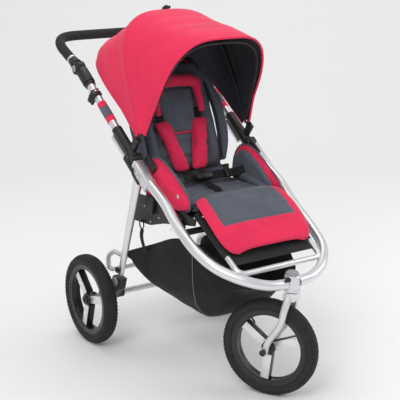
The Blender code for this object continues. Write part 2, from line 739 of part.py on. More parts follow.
def build_recline_bar(parent):
    """Bar on the backrest hinge that the fold linkage turns."""
    reach = 0.1795
    tube("recline_bar", [(-reach, BACK_PIVOT_Y, BACK_PIVOT_Z), (reach, BACK_PIVOT_Y, BACK_PIVOT_Z)],
         0.0070, "aluminium", parent, sides=12)


# ---- canopy --------------------------------------------------------------
def canopy_pivot():
    """Point on the axis the canopy bows turn about."""
    return upper_point(0, CANOPY_PIVOT_ALONG + 0.1825, 0.063)


def canopy_arch(angle, half, top, start=0.032, steps=24, foot=CANOPY_FOOT_HALF):
    """Squared arch of points in the half plane at an angle about the pivot."""
    pivot = canopy_pivot()
    out = Vector((0, math.cos(angle), math.sin(angle)))
    points = []
    for i in range(steps + 1):
        t = math.pi * i / steps
        x = half * math.copysign(abs(math.cos(t)) ** 0.57, math.cos(t))
        reach = max(top * math.sin(t) ** 0.57, 0.0)
        reach = start + reach * (top - start) / top
        flare = max(0.0, 1.0 - reach / FLARE_REACH)
        x += math.copysign((foot - half) * flare, math.cos(t))
        points.append(pivot + Vector((x, 0, 0)) + out * reach)
    return points


def build_canopy_fabric(parent):
    """Domed hood as one closed skin, open at the front and at the back."""
    stations = [(31, 0.205, 0.440), (36, 0.206, 0.447), (43, 0.208, 0.434),
                (50, 0.210, 0.422), (58, 0.212, 0.416), (66, 0.215, 0.420),
                (78, 0.212, 0.374), (90, 0.207, 0.350), (102, 0.201, 0.342),
                (112, 0.197, 0.344), (118, 0.194, 0.348)]
    rings = []
    for degrees, half, top in stations:
        angle = math.radians(degrees)
        foot = CANOPY_FOOT_HALF + 3 * CANOPY_SKIN
        outer = canopy_arch(angle, half, top, foot=foot)
        inner = canopy_arch(angle, half - CANOPY_SKIN, top - CANOPY_SKIN,
                            foot=foot - CANOPY_SKIN)
        rings.append(outer + inner[::-1])
    loft("canopy_fabric", rings, "pink_fabric", parent)


def build_bow(name, degrees, half, top, foot, parent):
    """One thin canopy bow ending in a flat foot at the pivot."""
    points = canopy_arch(math.radians(degrees), half, top, 0.010, 28, foot)
    loft(name, path_rings(points, 0.0035, 8), "black_plastic", parent)


# ---- rear frame ----------------------------------------------------------
def build_rear_leg(side, parent):
    """Rear leg tube from the fold bracket down to the suspension."""
    x = side * (LEG_X + 0.010)
    direction = Vector((0, LEG_FOOT_Y - LEG_TOP_Y, LEG_FOOT_Z - LEG_TOP_Z)).normalized()
    top = Vector((x, LEG_TOP_Y, LEG_TOP_Z)) - direction * 0.006
    foot = Vector((x, LEG_FOOT_Y, LEG_FOOT_Z))
    tube("rear_leg_" + side_name(side), [top, foot], LEG_RADIUS, "aluminium", parent)


def build_suspension(side, parent):
    """Black swing-arm housing between the leg and the axle."""
    x = side * (LEG_X + 0.012)
    outline = [(-0.134, 0.2535), (-0.090, 0.2575), (-0.066, 0.225), (-0.020, 0.186),
               (0.014, 0.172), (0.020, 0.150), (0.006, 0.136), (-0.022, 0.140),
               (-0.075, 0.176), (-0.120, 0.214)]
    body = slab("suspension_arm_" + side_name(side), outline, x - 0.014, x + 0.014,
                "black_plastic", parent)
    hole_shape = [(0.0105 + FIT_GAP, -0.03), (0.0105 + FIT_GAP, 0.03)]
    hole = turned("axle_hole_body_" + side_name(side), hole_shape,
                  (x, 0, WHEEL_RADIUS), (1, 0, 0), "black_plastic", parent, 20,
                  cutter=True)
    combine(body, [hole], "DIFFERENCE")


def build_rear_axle(parent):
    """Cross axle with thin ends that carry the rear wheels."""
    shoulder = HALF_TRACK - HUB_HALF_WIDTH - 0.002
    tip = HALF_TRACK + HUB_HALF_WIDTH - 0.008
    shape = [(AXLE_RADIUS, -tip), (AXLE_RADIUS, -shoulder), (0.0105, -shoulder),
             (0.0105, shoulder), (AXLE_RADIUS, shoulder), (AXLE_RADIUS, tip)]
    turned("rear_axle", shape, (0, 0, WHEEL_RADIUS), (1, 0, 0), "aluminium", parent, 20)


def build_rear_bar(parent):
    """Looped bar behind the basket that joins the two legs."""
    x = LEG_X + 0.010
    corners = [(-x + 0.026, -0.103, 0.318), (-x + 0.030, -0.020, 0.316),
               (-x + 0.030, 0.022, 0.290), (-x + 0.034, 0.030, 0.232),
               (x - 0.034, 0.030, 0.232), (x - 0.030, 0.022, 0.290),
               (x - 0.030, -0.020, 0.316), (x - 0.026, -0.103, 0.318)]
    tube("rear_cross_bar", corners, 0.0085, "aluminium", parent, bend=0.035, sides=12)


def build_brake(parent):
    """Foot lever of the parking brake, clamped round the axle."""
    bore = 0.0105 + FIT_GAP
    ring = [(bore, -0.014), (0.017, -0.014), (0.017, 0.014), (bore, 0.014)]
    lever = turned("brake_lever", ring, (-0.165, 0, WHEEL_RADIUS), (1, 0, 0),
                   "black_plastic", parent, 20, True)
    pedal = block("brake_pedal_body", (-0.165, 0.040, WHEEL_RADIUS - 0.014),
                  (0.014, 0.028, 0.005), "black_plastic", parent,
                  tilt(math.radians(-16)), 0.004, cutter=True)
    combine(lever, [pedal])


# ---- assembly ------------------------------------------------------------
def build_joint_empties():
    """Root and one empty per moving body, each standing on its joint axis."""
    root = empty("stroller", (0, 0, 0))
    hinge = upper_point(0, 0.055, 0.042)
    handle_at = upper_point(0, HANDLE_PIVOT_ALONG + 0.099, 0.0)
    upper = empty("upper_frame", hinge, root)
    rear = empty("rear_frame", (0, LEG_TOP_Y, LEG_TOP_Z), root)
    carrier = empty("back_carrier", (0, BACK_PIVOT_Y, BACK_PIVOT_Z), root)
    axle_y = HEAD_Y + STEER_TRAIL
    fork = empty("steering", (0, HEAD_Y, HEAD_BOTTOM), root)
    hub = empty("canopy_hub", canopy_pivot(), upper)
    joints = {
        "root": root, "upper": upper, "rear": rear, "carrier": carrier, "fork": fork,
        "hub": hub,
        "front_wheel": empty("front_wheel", (0, axle_y, WHEEL_RADIUS), fork),
        "wheel_left": empty("wheel_left", (HALF_TRACK, 0, WHEEL_RADIUS), rear),
        "wheel_right": empty("wheel_right", (-HALF_TRACK, 0, WHEEL_RADIUS), rear),
        "brake": empty("brake", (0, 0, WHEEL_RADIUS), rear),
        "back": empty("backrest", (0, BACK_PIVOT_Y, BACK_PIVOT_Z), carrier),
        "front_bow": empty("front_bow_pivot", canopy_pivot(), hub),
        "middle_bow": empty("middle_bow_pivot", canopy_pivot(), hub),
        "handle": empty("handle", handle_at, upper),
        "footrest": empty("footrest", (0, -0.462, 0.549), root),
        "cap": empty("swivel_lock", (0, HEAD_Y, HEAD_TOP), root),
    }
    for side in (1, -1):
        name = side_name(side)
        joints["latch_" + name] = empty("latch_slide_" + name,
                                        upper_point(side * HANDLE_HALF_WIDTH, 0.182, -0.0265),
                                        upper)
        button_at = upper_point(side * 0.244, HANDLE_PIVOT_ALONG + 0.099, 0.0)
        joints["button_" + name] = empty("button_slide_" + name, button_at, upper)
    return joints


def centre_on_ground(root):
    """Move the root so the model stands centred on the origin."""
    bpy.context.view_layer.update()
    depsgraph = bpy.context.evaluated_depsgraph_get()
    low = Vector((1e9, 1e9, 1e9))
    high = -low
    for obj in bpy.data.collections[COLLECTION_NAME].objects:
        if obj.type != "MESH":
            continue
        shape = obj.evaluated_get(depsgraph)
        for vertex in shape.data.vertices:
            point = shape.matrix_world @ vertex.co
            for i in range(3):
                low[i] = min(low[i], point[i])
                high[i] = max(high[i], point[i])
    middle = (low + high) / 2
    root.location = (-middle.x, -middle.y, -low.z)
    bpy.context.view_layer.update()


def build():
    """Build every sub-part, turn the front wheel and set the model down."""
    clear_scene()
    make_collections()
    make_materials()
    joints = build_joint_empties()
    root = joints["root"]
    build_steering_head(root)
    build_head_cap(joints["cap"])
    build_seat_cross_tube(root)
    build_basket(root)
    build_seat(root)
    build_footrest(joints["footrest"])
    for side in (1, -1):
        name = side_name(side)
        build_frame_tube(side, root)
        build_fold_bracket(side, root)
        build_side_plate(side, root)
        build_upper_frame(side, joints["upper"])
        build_fold_latch(side, joints["latch_" + name])
        build_handle_button(side, joints["button_" + name])
        build_rear_leg(side, joints["rear"])
        build_suspension(side, joints["rear"])
        build_wheel("rear_wheel_" + name, (side * HALF_TRACK, 0, WHEEL_RADIUS), side,
                    math.radians(14), False, joints["wheel_" + name])
    build_handle(joints["handle"])
    build_recline_bar(joints["carrier"])
    build_backrest(joints["back"])
    build_canopy_fabric(joints["hub"])
    build_bow("canopy_front_bow", 116, 0.184, 0.336, CANOPY_FOOT_HALF - 0.006,
              joints["front_bow"])
    build_bow("canopy_middle_bow", 66, 0.2035, 0.408, CANOPY_FOOT_HALF + 0.0015,
              joints["middle_bow"])
    build_rear_axle(joints["rear"])
    build_rear_bar(joints["rear"])
    build_brake(joints["brake"])
    build_fork(joints["fork"])
    build_wheel("front_wheel", (0, HEAD_Y + STEER_TRAIL, WHEEL_RADIUS), -1,
                math.radians(23), True, joints["front_wheel"])
    joints["fork"].rotation_euler.z = STEER_ANGLE
    centre_on_ground(root)


build()
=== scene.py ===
"""The finished look of a three-wheel baby stroller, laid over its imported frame."""
import json
import math

import bmesh
import bpy
from mathutils import Matrix, Vector, noise


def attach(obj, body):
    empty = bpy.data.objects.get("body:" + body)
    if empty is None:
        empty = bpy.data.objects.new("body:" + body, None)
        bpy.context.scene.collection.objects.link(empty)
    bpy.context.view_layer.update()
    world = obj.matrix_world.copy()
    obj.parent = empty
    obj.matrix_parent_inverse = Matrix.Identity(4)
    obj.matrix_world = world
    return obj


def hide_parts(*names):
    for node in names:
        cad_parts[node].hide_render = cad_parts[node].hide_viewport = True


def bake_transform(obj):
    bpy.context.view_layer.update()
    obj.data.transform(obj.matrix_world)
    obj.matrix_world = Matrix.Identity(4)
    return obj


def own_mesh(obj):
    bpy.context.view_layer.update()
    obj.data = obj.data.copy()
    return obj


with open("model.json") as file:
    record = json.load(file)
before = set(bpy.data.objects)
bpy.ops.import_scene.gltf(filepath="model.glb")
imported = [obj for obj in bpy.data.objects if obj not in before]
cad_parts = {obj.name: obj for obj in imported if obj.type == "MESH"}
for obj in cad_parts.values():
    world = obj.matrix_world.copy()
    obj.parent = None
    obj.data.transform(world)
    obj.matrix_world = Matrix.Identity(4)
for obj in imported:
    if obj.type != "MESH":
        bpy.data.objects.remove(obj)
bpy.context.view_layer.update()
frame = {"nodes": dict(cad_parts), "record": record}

bl_info = {
    "name": "Baby stroller looks",
    "version": (1, 0, 0),
    "blender": (4, 5, 0),
    "location": "View3D > Sidebar > Stroller",
    "description": "Builds the sewn, moulded and metal surfaces of a baby stroller",
    "category": "Object",
}

JOINTS = {joint["name"]: joint for joint in frame["record"]["behaviour"]["joints"]}
REAR_Y = JOINTS["rear_wheel_left_spin"]["pos_m"][1]
WHEEL_R = JOINTS["rear_wheel_left_spin"]["pos_m"][2]
UPPER_DIR = Vector(JOINTS["fold_latch_left_slide"]["axis"]).normalized()
UPPER_ANGLE = math.atan2(UPPER_DIR.z, UPPER_DIR.y)
HOOD_PIVOT = Vector(JOINTS["canopy_hub_fold"]["pos_m"])
HANDLE_PIVOT = Vector(JOINTS["handle_angle"]["pos_m"])
BACK_PIVOT = Vector(JOINTS["backrest_recline"]["pos_m"])
FRONT_HUB = Vector(JOINTS["front_wheel_spin"]["pos_m"])
FRONT_AXLE_DIR = Vector(JOINTS["front_wheel_spin"]["axis"]).normalized()
BACK_ANGLE = math.radians(67.0)
UPPER_X = 0.227
SIDES = {"left": 1, "right": -1}
MODEL = bpy.context.scene.collection
MATS = {}


# ---- places --------------------------------------------------------------
def at(x, y, z):
    """A point given from the rear axle line and the ground."""
    return Vector((x, REAR_Y + y, z))


def up_at(x, distance, lift=0.0):
    """A point along the upper tube, from its lowest end; lift is square to it."""
    base = at(x, -0.207, 0.696)
    across = Vector((0, -math.sin(UPPER_ANGLE), math.cos(UPPER_ANGLE)))
    return base + UPPER_DIR * (distance - 0.122) + across * lift


def back_at(x, distance, lift=0.0):
    """A point on the backrest: up from its hinge, lift towards the child."""
    line = Vector((0, math.cos(BACK_ANGLE), math.sin(BACK_ANGLE)))
    face = Vector((0, -math.sin(BACK_ANGLE), math.cos(BACK_ANGLE)))
    return Vector((x, BACK_PIVOT.y, BACK_PIVOT.z)) + line * distance + face * lift


def tilt(angle):
    """Turn about the cross axis."""
    return Matrix.Rotation(angle, 3, "X")


def smooth_path(points, per=8):
    """A soft curve through the given points."""
    pts = [Vector(p) for p in points]
    ends = [pts[0] * 2 - pts[1]] + pts + [pts[-1] * 2 - pts[-2]]
    path = []
    for a, b, c, d in zip(ends, ends[1:], ends[2:], ends[3:]):
        for i in range(per):
            t = i / per
            path.append(0.5 * ((2 * b) + (c - a) * t + (2 * a - 5 * b + 4 * c - d) * t * t
                               + (3 * b - a - 3 * c + d) * t ** 3))
    path.append(pts[-1])
    return path


def rounded_path(corners, radius, steps=8):
    """Inner corners of a polyline bent to soft arcs."""
    points = [Vector(c) for c in corners]
    path = [points[0]]
    for before, here, after in zip(points, points[1:], points[2:]):
        back = before - here
        ahead = after - here
        angle = back.angle(ahead)
        reach = min(radius / math.tan(angle / 2.0), 0.48 * back.length, 0.48 * ahead.length)
        start = here + back.normalized() * reach
        end = here + ahead.normalized() * reach
        for i in range(steps + 1):
            t = i / steps
            path.append(start.lerp(here, t).lerp(here.lerp(end, t), t))
    path.append(points[-1])
    return path


def soften(path, rounds):
    """Even out the bends of a path, its ends staying put."""
    for _ in range(rounds):
        path = [path[0]] + [(a + b * 2 + c) / 4 for a, b, c in
                            zip(path, path[1:], path[2:])] + [path[-1]]
    return path


# ---- mesh helpers --------------------------------------------------------
def keep(name, mesh, material, smooth=True, angle=40.0):
    """A finished mesh object at the origin with one finish."""
    obj = bpy.data.objects.new(name, mesh)
    MODEL.objects.link(obj)
    if not mesh.materials:
        mesh.materials.append(MATS[material])
    if smooth:
        mesh.shade_smooth()
        mesh.set_sharp_from_angle(angle=math.radians(angle))
    return obj


def from_bm(name, bm, material, angle=40.0, recalc=True):
    """Turn a bmesh into a finished object."""
    if recalc:
        bmesh.ops.recalc_face_normals(bm, faces=bm.faces[:])
    mesh = bpy.data.meshes.new(name)
    bm.to_mesh(mesh)
    bm.free()
    return keep(name, mesh, material, angle=angle)


def skin(bm, rings, closed=False, caps=True):
    """Quads between equal rings of points; ends may be capped."""
    rows = [[bm.verts.new(p) for p in ring] for ring in rings]
    n = len(rows[0])
    pairs = list(zip(rows, rows[1:]))
    if closed:
        pairs.append((rows[-1], rows[0]))
    for low, high in pairs:
        for i in range(n):
            j = (i + 1) % n
            bm.faces.new((low[i], low[j], high[j], high[i]))
    if caps and not closed:
        bm.faces.new(rows[0][::-1])
        bm.faces.new(rows[-1])


def tube_rings(path, radius, sides=20, squash=1.0, side=None):
    """Rings square to a path; radius is a number or one value per point."""
    radii = radius if isinstance(radius, list) else [radius] * len(path)
    rings = []
    tangent = (path[1] - path[0]).normalized()
    side = (side or tangent.orthogonal()).normalized()
    for i, point in enumerate(path):
        ahead = path[min(i + 1, len(path) - 1)] - path[max(i - 1, 0)]
        tangent = ahead.normalized()
        side = (side - tangent * side.dot(tangent)).normalized()
        up = tangent.cross(side)
        ring = []
        for k in range(sides):
            a = 2 * math.pi * k / sides
            ring.append(point + side * (math.cos(a) * radii[i])
                        + up * (math.sin(a) * radii[i] * squash))
        rings.append(ring)
    return rings


def bar(name, path, radius, material, sides=20, squash=1.0, side=None, angle=50.0):
    """A round bar or a flattened one along a path."""
    bm = bmesh.new()
    skin(bm, tube_rings(path, radius, sides, squash, side))
    return from_bm(name, bm, material, angle)


def lathe(bm, profile, centre, axis, sides=48, closed=False):
    """Turn a (radius, along) profile about an axis."""
    axis = Vector(axis).normalized()
    side = axis.orthogonal().normalized()
    up = axis.cross(side)
    rows = []
    for k in range(sides):
        a = 2 * math.pi * k / sides
        out = side * math.cos(a) + up * math.sin(a)
        rows.append([Vector(centre) + out * r + axis * t for r, t in profile])
    if closed:
        skin(bm, rows, closed=True)
    else:
        skin(bm, [[rows[k][i] for k in range(sides)] for i in range(len(profile))])


def turned(name, profile, centre, axis, material, sides=48, closed=False, angle=35.0):
    """One turned piece."""
    bm = bmesh.new()
    lathe(bm, profile, centre, axis, sides, closed)
    return from_bm(name, bm, material, angle)


def soft_box(bm, centre, half, turn=None, edge=0.003, segments=2):
    """A box with rounded edges added to a bmesh."""
    turn = turn or Matrix.Identity(3)
    part = bmesh.new()
    bmesh.ops.create_cube(part, size=2.0)
    bmesh.ops.scale(part, vec=Vector(half), verts=part.verts)
    bmesh.ops.bevel(part, geom=part.edges[:], offset=edge, segments=segments,
                    affect="EDGES", profile=0.5)
    bmesh.ops.transform(part, matrix=turn.to_4x4(), verts=part.verts)
    bmesh.ops.translate(part, vec=Vector(centre), verts=part.verts)
    mesh = bpy.data.meshes.new("part")
    part.to_mesh(mesh)
    part.free()
    bm.from_mesh(mesh)
    bpy.data.meshes.remove(mesh)


def box_piece(name, parts, material, angle=35.0):
    """One piece made of rounded boxes given as (centre, half, turn, edge)."""
    bm = bmesh.new()
    for centre, half, turn, edge in parts:
        soft_box(bm, centre, half, turn, edge)
    return from_bm(name, bm, material, angle)


def ribbon(name, path, across, width, thickness, material):
    """Flat webbing along a path."""
    across = Vector(across).normalized()
    rings = []
    for i, point in enumerate(path):
        ahead = path[min(i + 1, len(path) - 1)] - path[max(i - 1, 0)]
        face = ahead.normalized().cross(across).normalized()
        w = across * (width / 2)
        t = face * (thickness / 2)
        rings.append([point - w * 0.96 - t, point - w, point - w * 0.96 + t,
                      point + w * 0.96 + t, point + w, point + w * 0.96 - t])
    bm = bmesh.new()
    skin(bm, rings)
    return from_bm(name, bm, material, 60.0)


def pillow(bm, frame_at, half_u, half_v, thick, steps=(28, 28), fullness=5.0,
           relief=None, back=0.35):
    """Closed pad: frame_at(u, v, h) places it, relief(u, v) shapes its face."""
    nu, nv = steps
    top, low = [], []
    for j in range(nv + 1):
        v = -1 + 2 * j / nv
        row_top, row_low = [], []
        for i in range(nu + 1):
            u = -1 + 2 * i / nu
            crown = max(0.0, (1 - abs(u) ** fullness) * (1 - abs(v) ** fullness)) ** 0.5
            extra = relief(u, v) if relief else 1.0
            cu = u * (1 - 0.03 * abs(v) ** 4)
            cv = v * (1 - 0.03 * abs(u) ** 4)
            row_top.append(frame_at(cu * half_u, cv * half_v, thick * crown * extra))
            row_low.append(frame_at(cu * half_u, cv * half_v, -thick * back * crown))
        top.append(row_top)
        low.append(row_low)
    verts_top = [[bm.verts.new(p) for p in row] for row in top]
    verts_low = []
    for j, row in enumerate(low):
        made = []
        for i, p in enumerate(row):
            edge = i in (0, nu) or j in (0, nv)
            made.append(verts_top[j][i] if edge else bm.verts.new(p))
        verts_low.append(made)
    for j in range(nv):
        for i in range(nu):
            a, b = verts_top[j][i], verts_top[j][i + 1]
            c, d = verts_top[j + 1][i + 1], verts_top[j + 1][i]
            bm.faces.new((a, b, c, d))
            e, f = verts_low[j][i], verts_low[j][i + 1]
            g, h = verts_low[j + 1][i + 1], verts_low[j + 1][i]
            if len({e, f, g, h} & {a, b, c, d}) < 4:
                bm.faces.new((h, g, f, e))


def rumple(obj, depth, scale, seed=0.0):
    """Push a surface in and out by a soft noise, as cloth creases."""
    for vertex in obj.data.vertices:
        spot = vertex.co * scale + Vector((seed, seed * 0.7, -seed))
        vertex.co += vertex.normal * (noise.noise(spot) * depth)
    obj.data.update()


def puff(obj, cap, voxel=0.005, pressure=4.0):
    """Let a pad swell as filled cloth does, no point moving further than cap."""
    scene = bpy.context.scene
    cut = obj.modifiers.new("even_mesh", "REMESH")
    cut.mode = "VOXEL"
    cut.voxel_size = voxel
    graph = bpy.context.evaluated_depsgraph_get()
    mesh = bpy.data.meshes.new_from_object(obj.evaluated_get(graph))
    obj.modifiers.remove(cut)
    obj.data = mesh
    swell = obj.modifiers.new("swell", "CLOTH")
    swell.settings.use_pressure = True
    swell.settings.uniform_pressure_force = pressure
    swell.settings.effector_weights.gravity = 0.0
    swell.settings.quality = 5
    for step in range(1, 21):
        scene.frame_set(step)
    graph = bpy.context.evaluated_depsgraph_get()
    moved = [v.co.copy() for v in obj.evaluated_get(graph).data.vertices]
    obj.modifiers.remove(swell)
    for vertex, place in zip(obj.data.vertices, moved):
        shift = place - vertex.co
        if shift.length > cap:
            shift = shift.normalized() * cap
        vertex.co += shift
    scene.frame_set(1)
    obj.data.shade_smooth()
    obj.data.update()
    finer = obj.modifiers.new("finer", "SUBSURF")
    finer.levels = 1
    finer.render_levels = 1


# ---- materials -----------------------------------------------------------
def socket(group, name, kind, into, default=None):
    """Add one socket to a node group."""
    made = group.interface.new_socket(name=name, in_out=into, socket_type=kind)
    if default is not None:
        made.default_value = default
    return made


def link(tree, a, b):
    tree.links.new(a, b)


def add_node(tree, kind, **values):
    """A node with some of its properties or inputs set."""
    node = tree.nodes.new(kind)
    for key, value in values.items():
        if key in node.inputs:
            node.inputs[key].default_value = value
        else:
            setattr(node, key, value)
    return node


def math_node(tree, operation, a, b):
    """A math node fed by sockets or numbers."""
    node = tree.nodes.new("ShaderNodeMath")
    node.operation = operation
    for slot_in, value in zip(node.inputs, (a, b)):
        if isinstance(value, (int, float)):
            slot_in.default_value = value
        else:
            link(tree, value, slot_in)
    return node.outputs[0]


def make_weave_group():
    """Crossing threads: a height for bump and a mask for colour."""
    group = bpy.data.node_groups.new("crossed_threads", "ShaderNodeTree")
    socket(group, "Threads per metre", "NodeSocketFloat", "INPUT", 900.0)
    socket(group, "Mottle scale", "NodeSocketFloat", "INPUT", 40.0)
    socket(group, "Height", "NodeSocketFloat", "OUTPUT")
    socket(group, "Mottle", "NodeSocketFloat", "OUTPUT")
    source = group.nodes.new("NodeGroupInput")
    result = group.nodes.new("NodeGroupOutput")
    place = group.nodes.new("ShaderNodeTexCoord")
    waves = []
    for direction in ("X", "Y", "Z"):
        wave = add_node(group, "ShaderNodeTexWave", bands_direction=direction)
        wave.inputs["Distortion"].default_value = 0.4
        link(group, place.outputs["Object"], wave.inputs["Vector"])
        link(group, math_node(group, "DIVIDE", source.outputs[0], 20.0), wave.inputs["Scale"])
        waves.append(wave.outputs["Fac"])
    crossed = math_node(group, "ADD", math_node(group, "MULTIPLY", waves[0], waves[2]),
                        math_node(group, "MULTIPLY", waves[1], waves[2]))
    mottle = add_node(group, "ShaderNodeTexNoise", Detail=5.0, Roughness=0.6)
    link(group, place.outputs["Object"], mottle.inputs["Vector"])
    link(group, source.outputs[1], mottle.inputs["Scale"])
    link(group, crossed, result.inputs["Height"])
    link(group, mottle.outputs["Fac"], result.inputs["Mottle"])
    return group


def make_wear_group():
    """Soft mottling and fine scratches for metal and moulded parts."""
    group = bpy.data.node_groups.new("handling_wear", "ShaderNodeTree")
    socket(group, "Scale", "NodeSocketFloat", "INPUT", 30.0)
    socket(group, "Low", "NodeSocketFloat", "INPUT", 0.3)
    socket(group, "High", "NodeSocketFloat", "INPUT", 0.45)
    socket(group, "Roughness", "NodeSocketFloat", "OUTPUT")
    socket(group, "Grain", "NodeSocketFloat", "OUTPUT")
    source = group.nodes.new("NodeGroupInput")
    result = group.nodes.new("NodeGroupOutput")
    place = group.nodes.new("ShaderNodeTexCoord")
    broad = add_node(group, "ShaderNodeTexNoise", Detail=4.0, Roughness=0.65)
    link(group, place.outputs["Object"], broad.inputs["Vector"])
    link(group, source.outputs["Scale"], broad.inputs["Scale"])
    spread = group.nodes.new("ShaderNodeMapRange")
    link(group, broad.outputs["Fac"], spread.inputs["Value"])
    spread.inputs["From Min"].default_value = 0.3
    spread.inputs["From Max"].default_value = 0.7
    link(group, source.outputs["Low"], spread.inputs["To Min"])
    link(group, source.outputs["High"], spread.inputs["To Max"])
    fine = add_node(group, "ShaderNodeTexNoise", Scale=900.0, Detail=3.0)
    link(group, place.outputs["Object"], fine.inputs["Vector"])
    link(group, spread.outputs["Result"], result.inputs["Roughness"])
    link(group, fine.outputs["Fac"], result.inputs["Grain"])
    return group


def base_material(name):
    """An empty Principled material and its tree."""
    material = bpy.data.materials.new(name)
    material.use_nodes = True
    MATS[name] = material
    tree = material.node_tree
    return tree, tree.nodes["Principled BSDF"]


def cloth(name, color, darker, weave, threads=900.0, bump=0.25, sheen=0.25, rough=0.85,
          metre_fade=40.0):
    """Woven cloth: crossed threads in the bump, a soft change in its colour."""
    tree, shader = base_material(name)
    threads_node = tree.nodes.new("ShaderNodeGroup")
    threads_node.node_tree = weave
    threads_node.inputs[0].default_value = threads
    threads_node.inputs[1].default_value = metre_fade
    ramp = tree.nodes.new("ShaderNodeValToRGB")
    ramp.color_ramp.elements[0].position = 0.35
    ramp.color_ramp.elements[0].color = (*darker, 1)
    ramp.color_ramp.elements[1].position = 0.65
    ramp.color_ramp.elements[1].color = (*color, 1)
    link(tree, threads_node.outputs["Mottle"], ramp.inputs["Fac"])
    link(tree, ramp.outputs["Color"], shader.inputs["Base Color"])
    bump_node = add_node(tree, "ShaderNodeBump", Strength=bump, Distance=0.0004)
    link(tree, threads_node.outputs["Height"], bump_node.inputs["Height"])
    link(tree, bump_node.outputs["Normal"], shader.inputs["Normal"])
    shader.inputs["Roughness"].default_value = rough
    shader.inputs["Sheen Weight"].default_value = sheen
    shader.inputs["Sheen Roughness"].default_value = 0.4
    shader.inputs["Specular IOR Level"].default_value = 0.25


def metal(name, color, wear, low, high, metallic=1.0, scale=25.0, bump=0.03):
    """Metal or painted metal with a handled finish."""
    tree, shader = base_material(name)
    worn = tree.nodes.new("ShaderNodeGroup")
    worn.node_tree = wear
    worn.inputs["Scale"].default_value = scale
    worn.inputs["Low"].default_value = low
    worn.inputs["High"].default_value = high
    link(tree, worn.outputs["Roughness"], shader.inputs["Roughness"])
    bump_node = add_node(tree, "ShaderNodeBump", Strength=bump, Distance=0.0003)
    link(tree, worn.outputs["Grain"], bump_node.inputs["Height"])
    link(tree, bump_node.outputs["Normal"], shader.inputs["Normal"])
    ramp = tree.nodes.new("ShaderNodeValToRGB")
    ramp.color_ramp.elements[0].color = (*[c * 0.9 for c in color], 1)
    ramp.color_ramp.elements[1].color = (*color, 1)
    link(tree, worn.outputs["Grain"], ramp.inputs["Fac"])
    link(tree, ramp.outputs["Color"], shader.inputs["Base Color"])
    shader.inputs["Metallic"].default_value = metallic


def make_materials(props):
    """Every finish on the stroller."""
    weave = make_weave_group()
    wear = make_wear_group()
    pink = tuple(props.pink_cloth)
    grey = tuple(props.grey_cloth)
    cloth("hood_cloth", pink, tuple(c * 0.90 for c in pink), weave, 1100, 0.12, 0.15, 0.8, 6.0)
    cloth("pad_cloth", pink, tuple(c * 0.88 for c in pink), weave, 1000, 0.15, 0.2, 0.85, 14.0)
    cloth("seat_cloth", grey, tuple(c * 0.8 for c in grey), weave, 1000, 0.15, 0.2, 0.9, 14.0)
    cloth("lining_cloth", (0.032, 0.030, 0.042), (0.022, 0.021, 0.030), weave, 1000, 0.15,
          0.1, 0.9, 8.0)
    cloth("basket_cloth", (0.016, 0.016, 0.018), (0.009, 0.009, 0.010), weave, 700, 0.3,
          0.08, 0.8, 12.0)
    cloth("sling_cloth", (0.030, 0.030, 0.033), (0.020, 0.020, 0.022), weave, 700, 0.3,
          0.08, 0.85, 18.0)
    cloth("webbing", (0.014, 0.014, 0.015), (0.007, 0.007, 0.008), weave, 1600, 0.5, 0.05,
          0.7, 60.0)
    cloth("pale_mesh", (0.62, 0.63, 0.66), (0.50, 0.51, 0.54), weave, 500, 0.5, 0.1, 0.8, 30.0)
    cloth("seam_thread", (0.20, 0.20, 0.22), (0.14, 0.14, 0.15), weave, 2000, 0.3, 0.1, 0.8)
    cloth("pink_thread", tuple(c * 0.62 for c in pink), tuple(c * 0.5 for c in pink), weave,
          2000, 0.3, 0.1, 0.8)
    metal("satin_tube", (0.80, 0.81, 0.83), wear, 0.28, 0.40, 0.85, 18.0, 0.02)
    metal("cast_alloy", (0.74, 0.75, 0.77), wear, 0.32, 0.46, 0.8, 60.0, 0.12)
    metal("spoke_metal", (0.78, 0.79, 0.81), wear, 0.22, 0.36, 0.85, 40.0, 0.03)
    metal("rivet_steel", (0.70, 0.70, 0.72), wear, 0.2, 0.35, 1.0, 90.0, 0.02)
    metal("black_plastic", (0.011, 0.011, 0.012), wear, 0.38, 0.55, 0.0, 30.0, 0.15)
    metal("rim_plastic", (0.014, 0.014, 0.016), wear, 0.25, 0.38, 0.0, 20.0, 0.05)
    metal("grey_plastic", (0.30, 0.31, 0.33), wear, 0.35, 0.5, 0.0, 30.0, 0.1)
    metal("tyre_rubber", (0.014, 0.014, 0.016), wear, 0.70, 0.9, 0.0, 35.0, 0.4)
    metal("grip_foam", (0.016, 0.016, 0.018), wear, 0.8, 0.95, 0.0, 120.0, 0.8)
    repaint_nodes()


def repaint_nodes():
    """Finishes for the CAD parts that are shown as they are."""
    plan = {
        "cast_alloy": ("steering_head", "front_fork", "fold_bracket_left",
                       "fold_bracket_right"),
        "satin_tube": ("rear_axle", "rear_cross_bar", "fold_latch_left", "fold_latch_right"),
        "black_plastic": ("recline_bar", "seat_cross_tube", "back_board",
                          "front_axle_bolt", "brake_lever", "canopy_front_bow",
                          "canopy_middle_bow", "seat_side_plate_left",
                          "seat_side_plate_right", "hinge_collar_left",
                          "hinge_collar_right", "canopy_mount_left", "canopy_mount_right",
                          "handle_pivot_left", "handle_pivot_right", "handle_button_left",
                          "handle_button_right", "suspension_arm_left",
                          "suspension_arm_right"),
        "grey_plastic": ("swivel_lock_cap",),
    }
    for finish, names in plan.items():
        for name in names:
            node = frame["nodes"][name]
            for slot_used in node.material_slots:
                slot_used.material = MATS[finish]


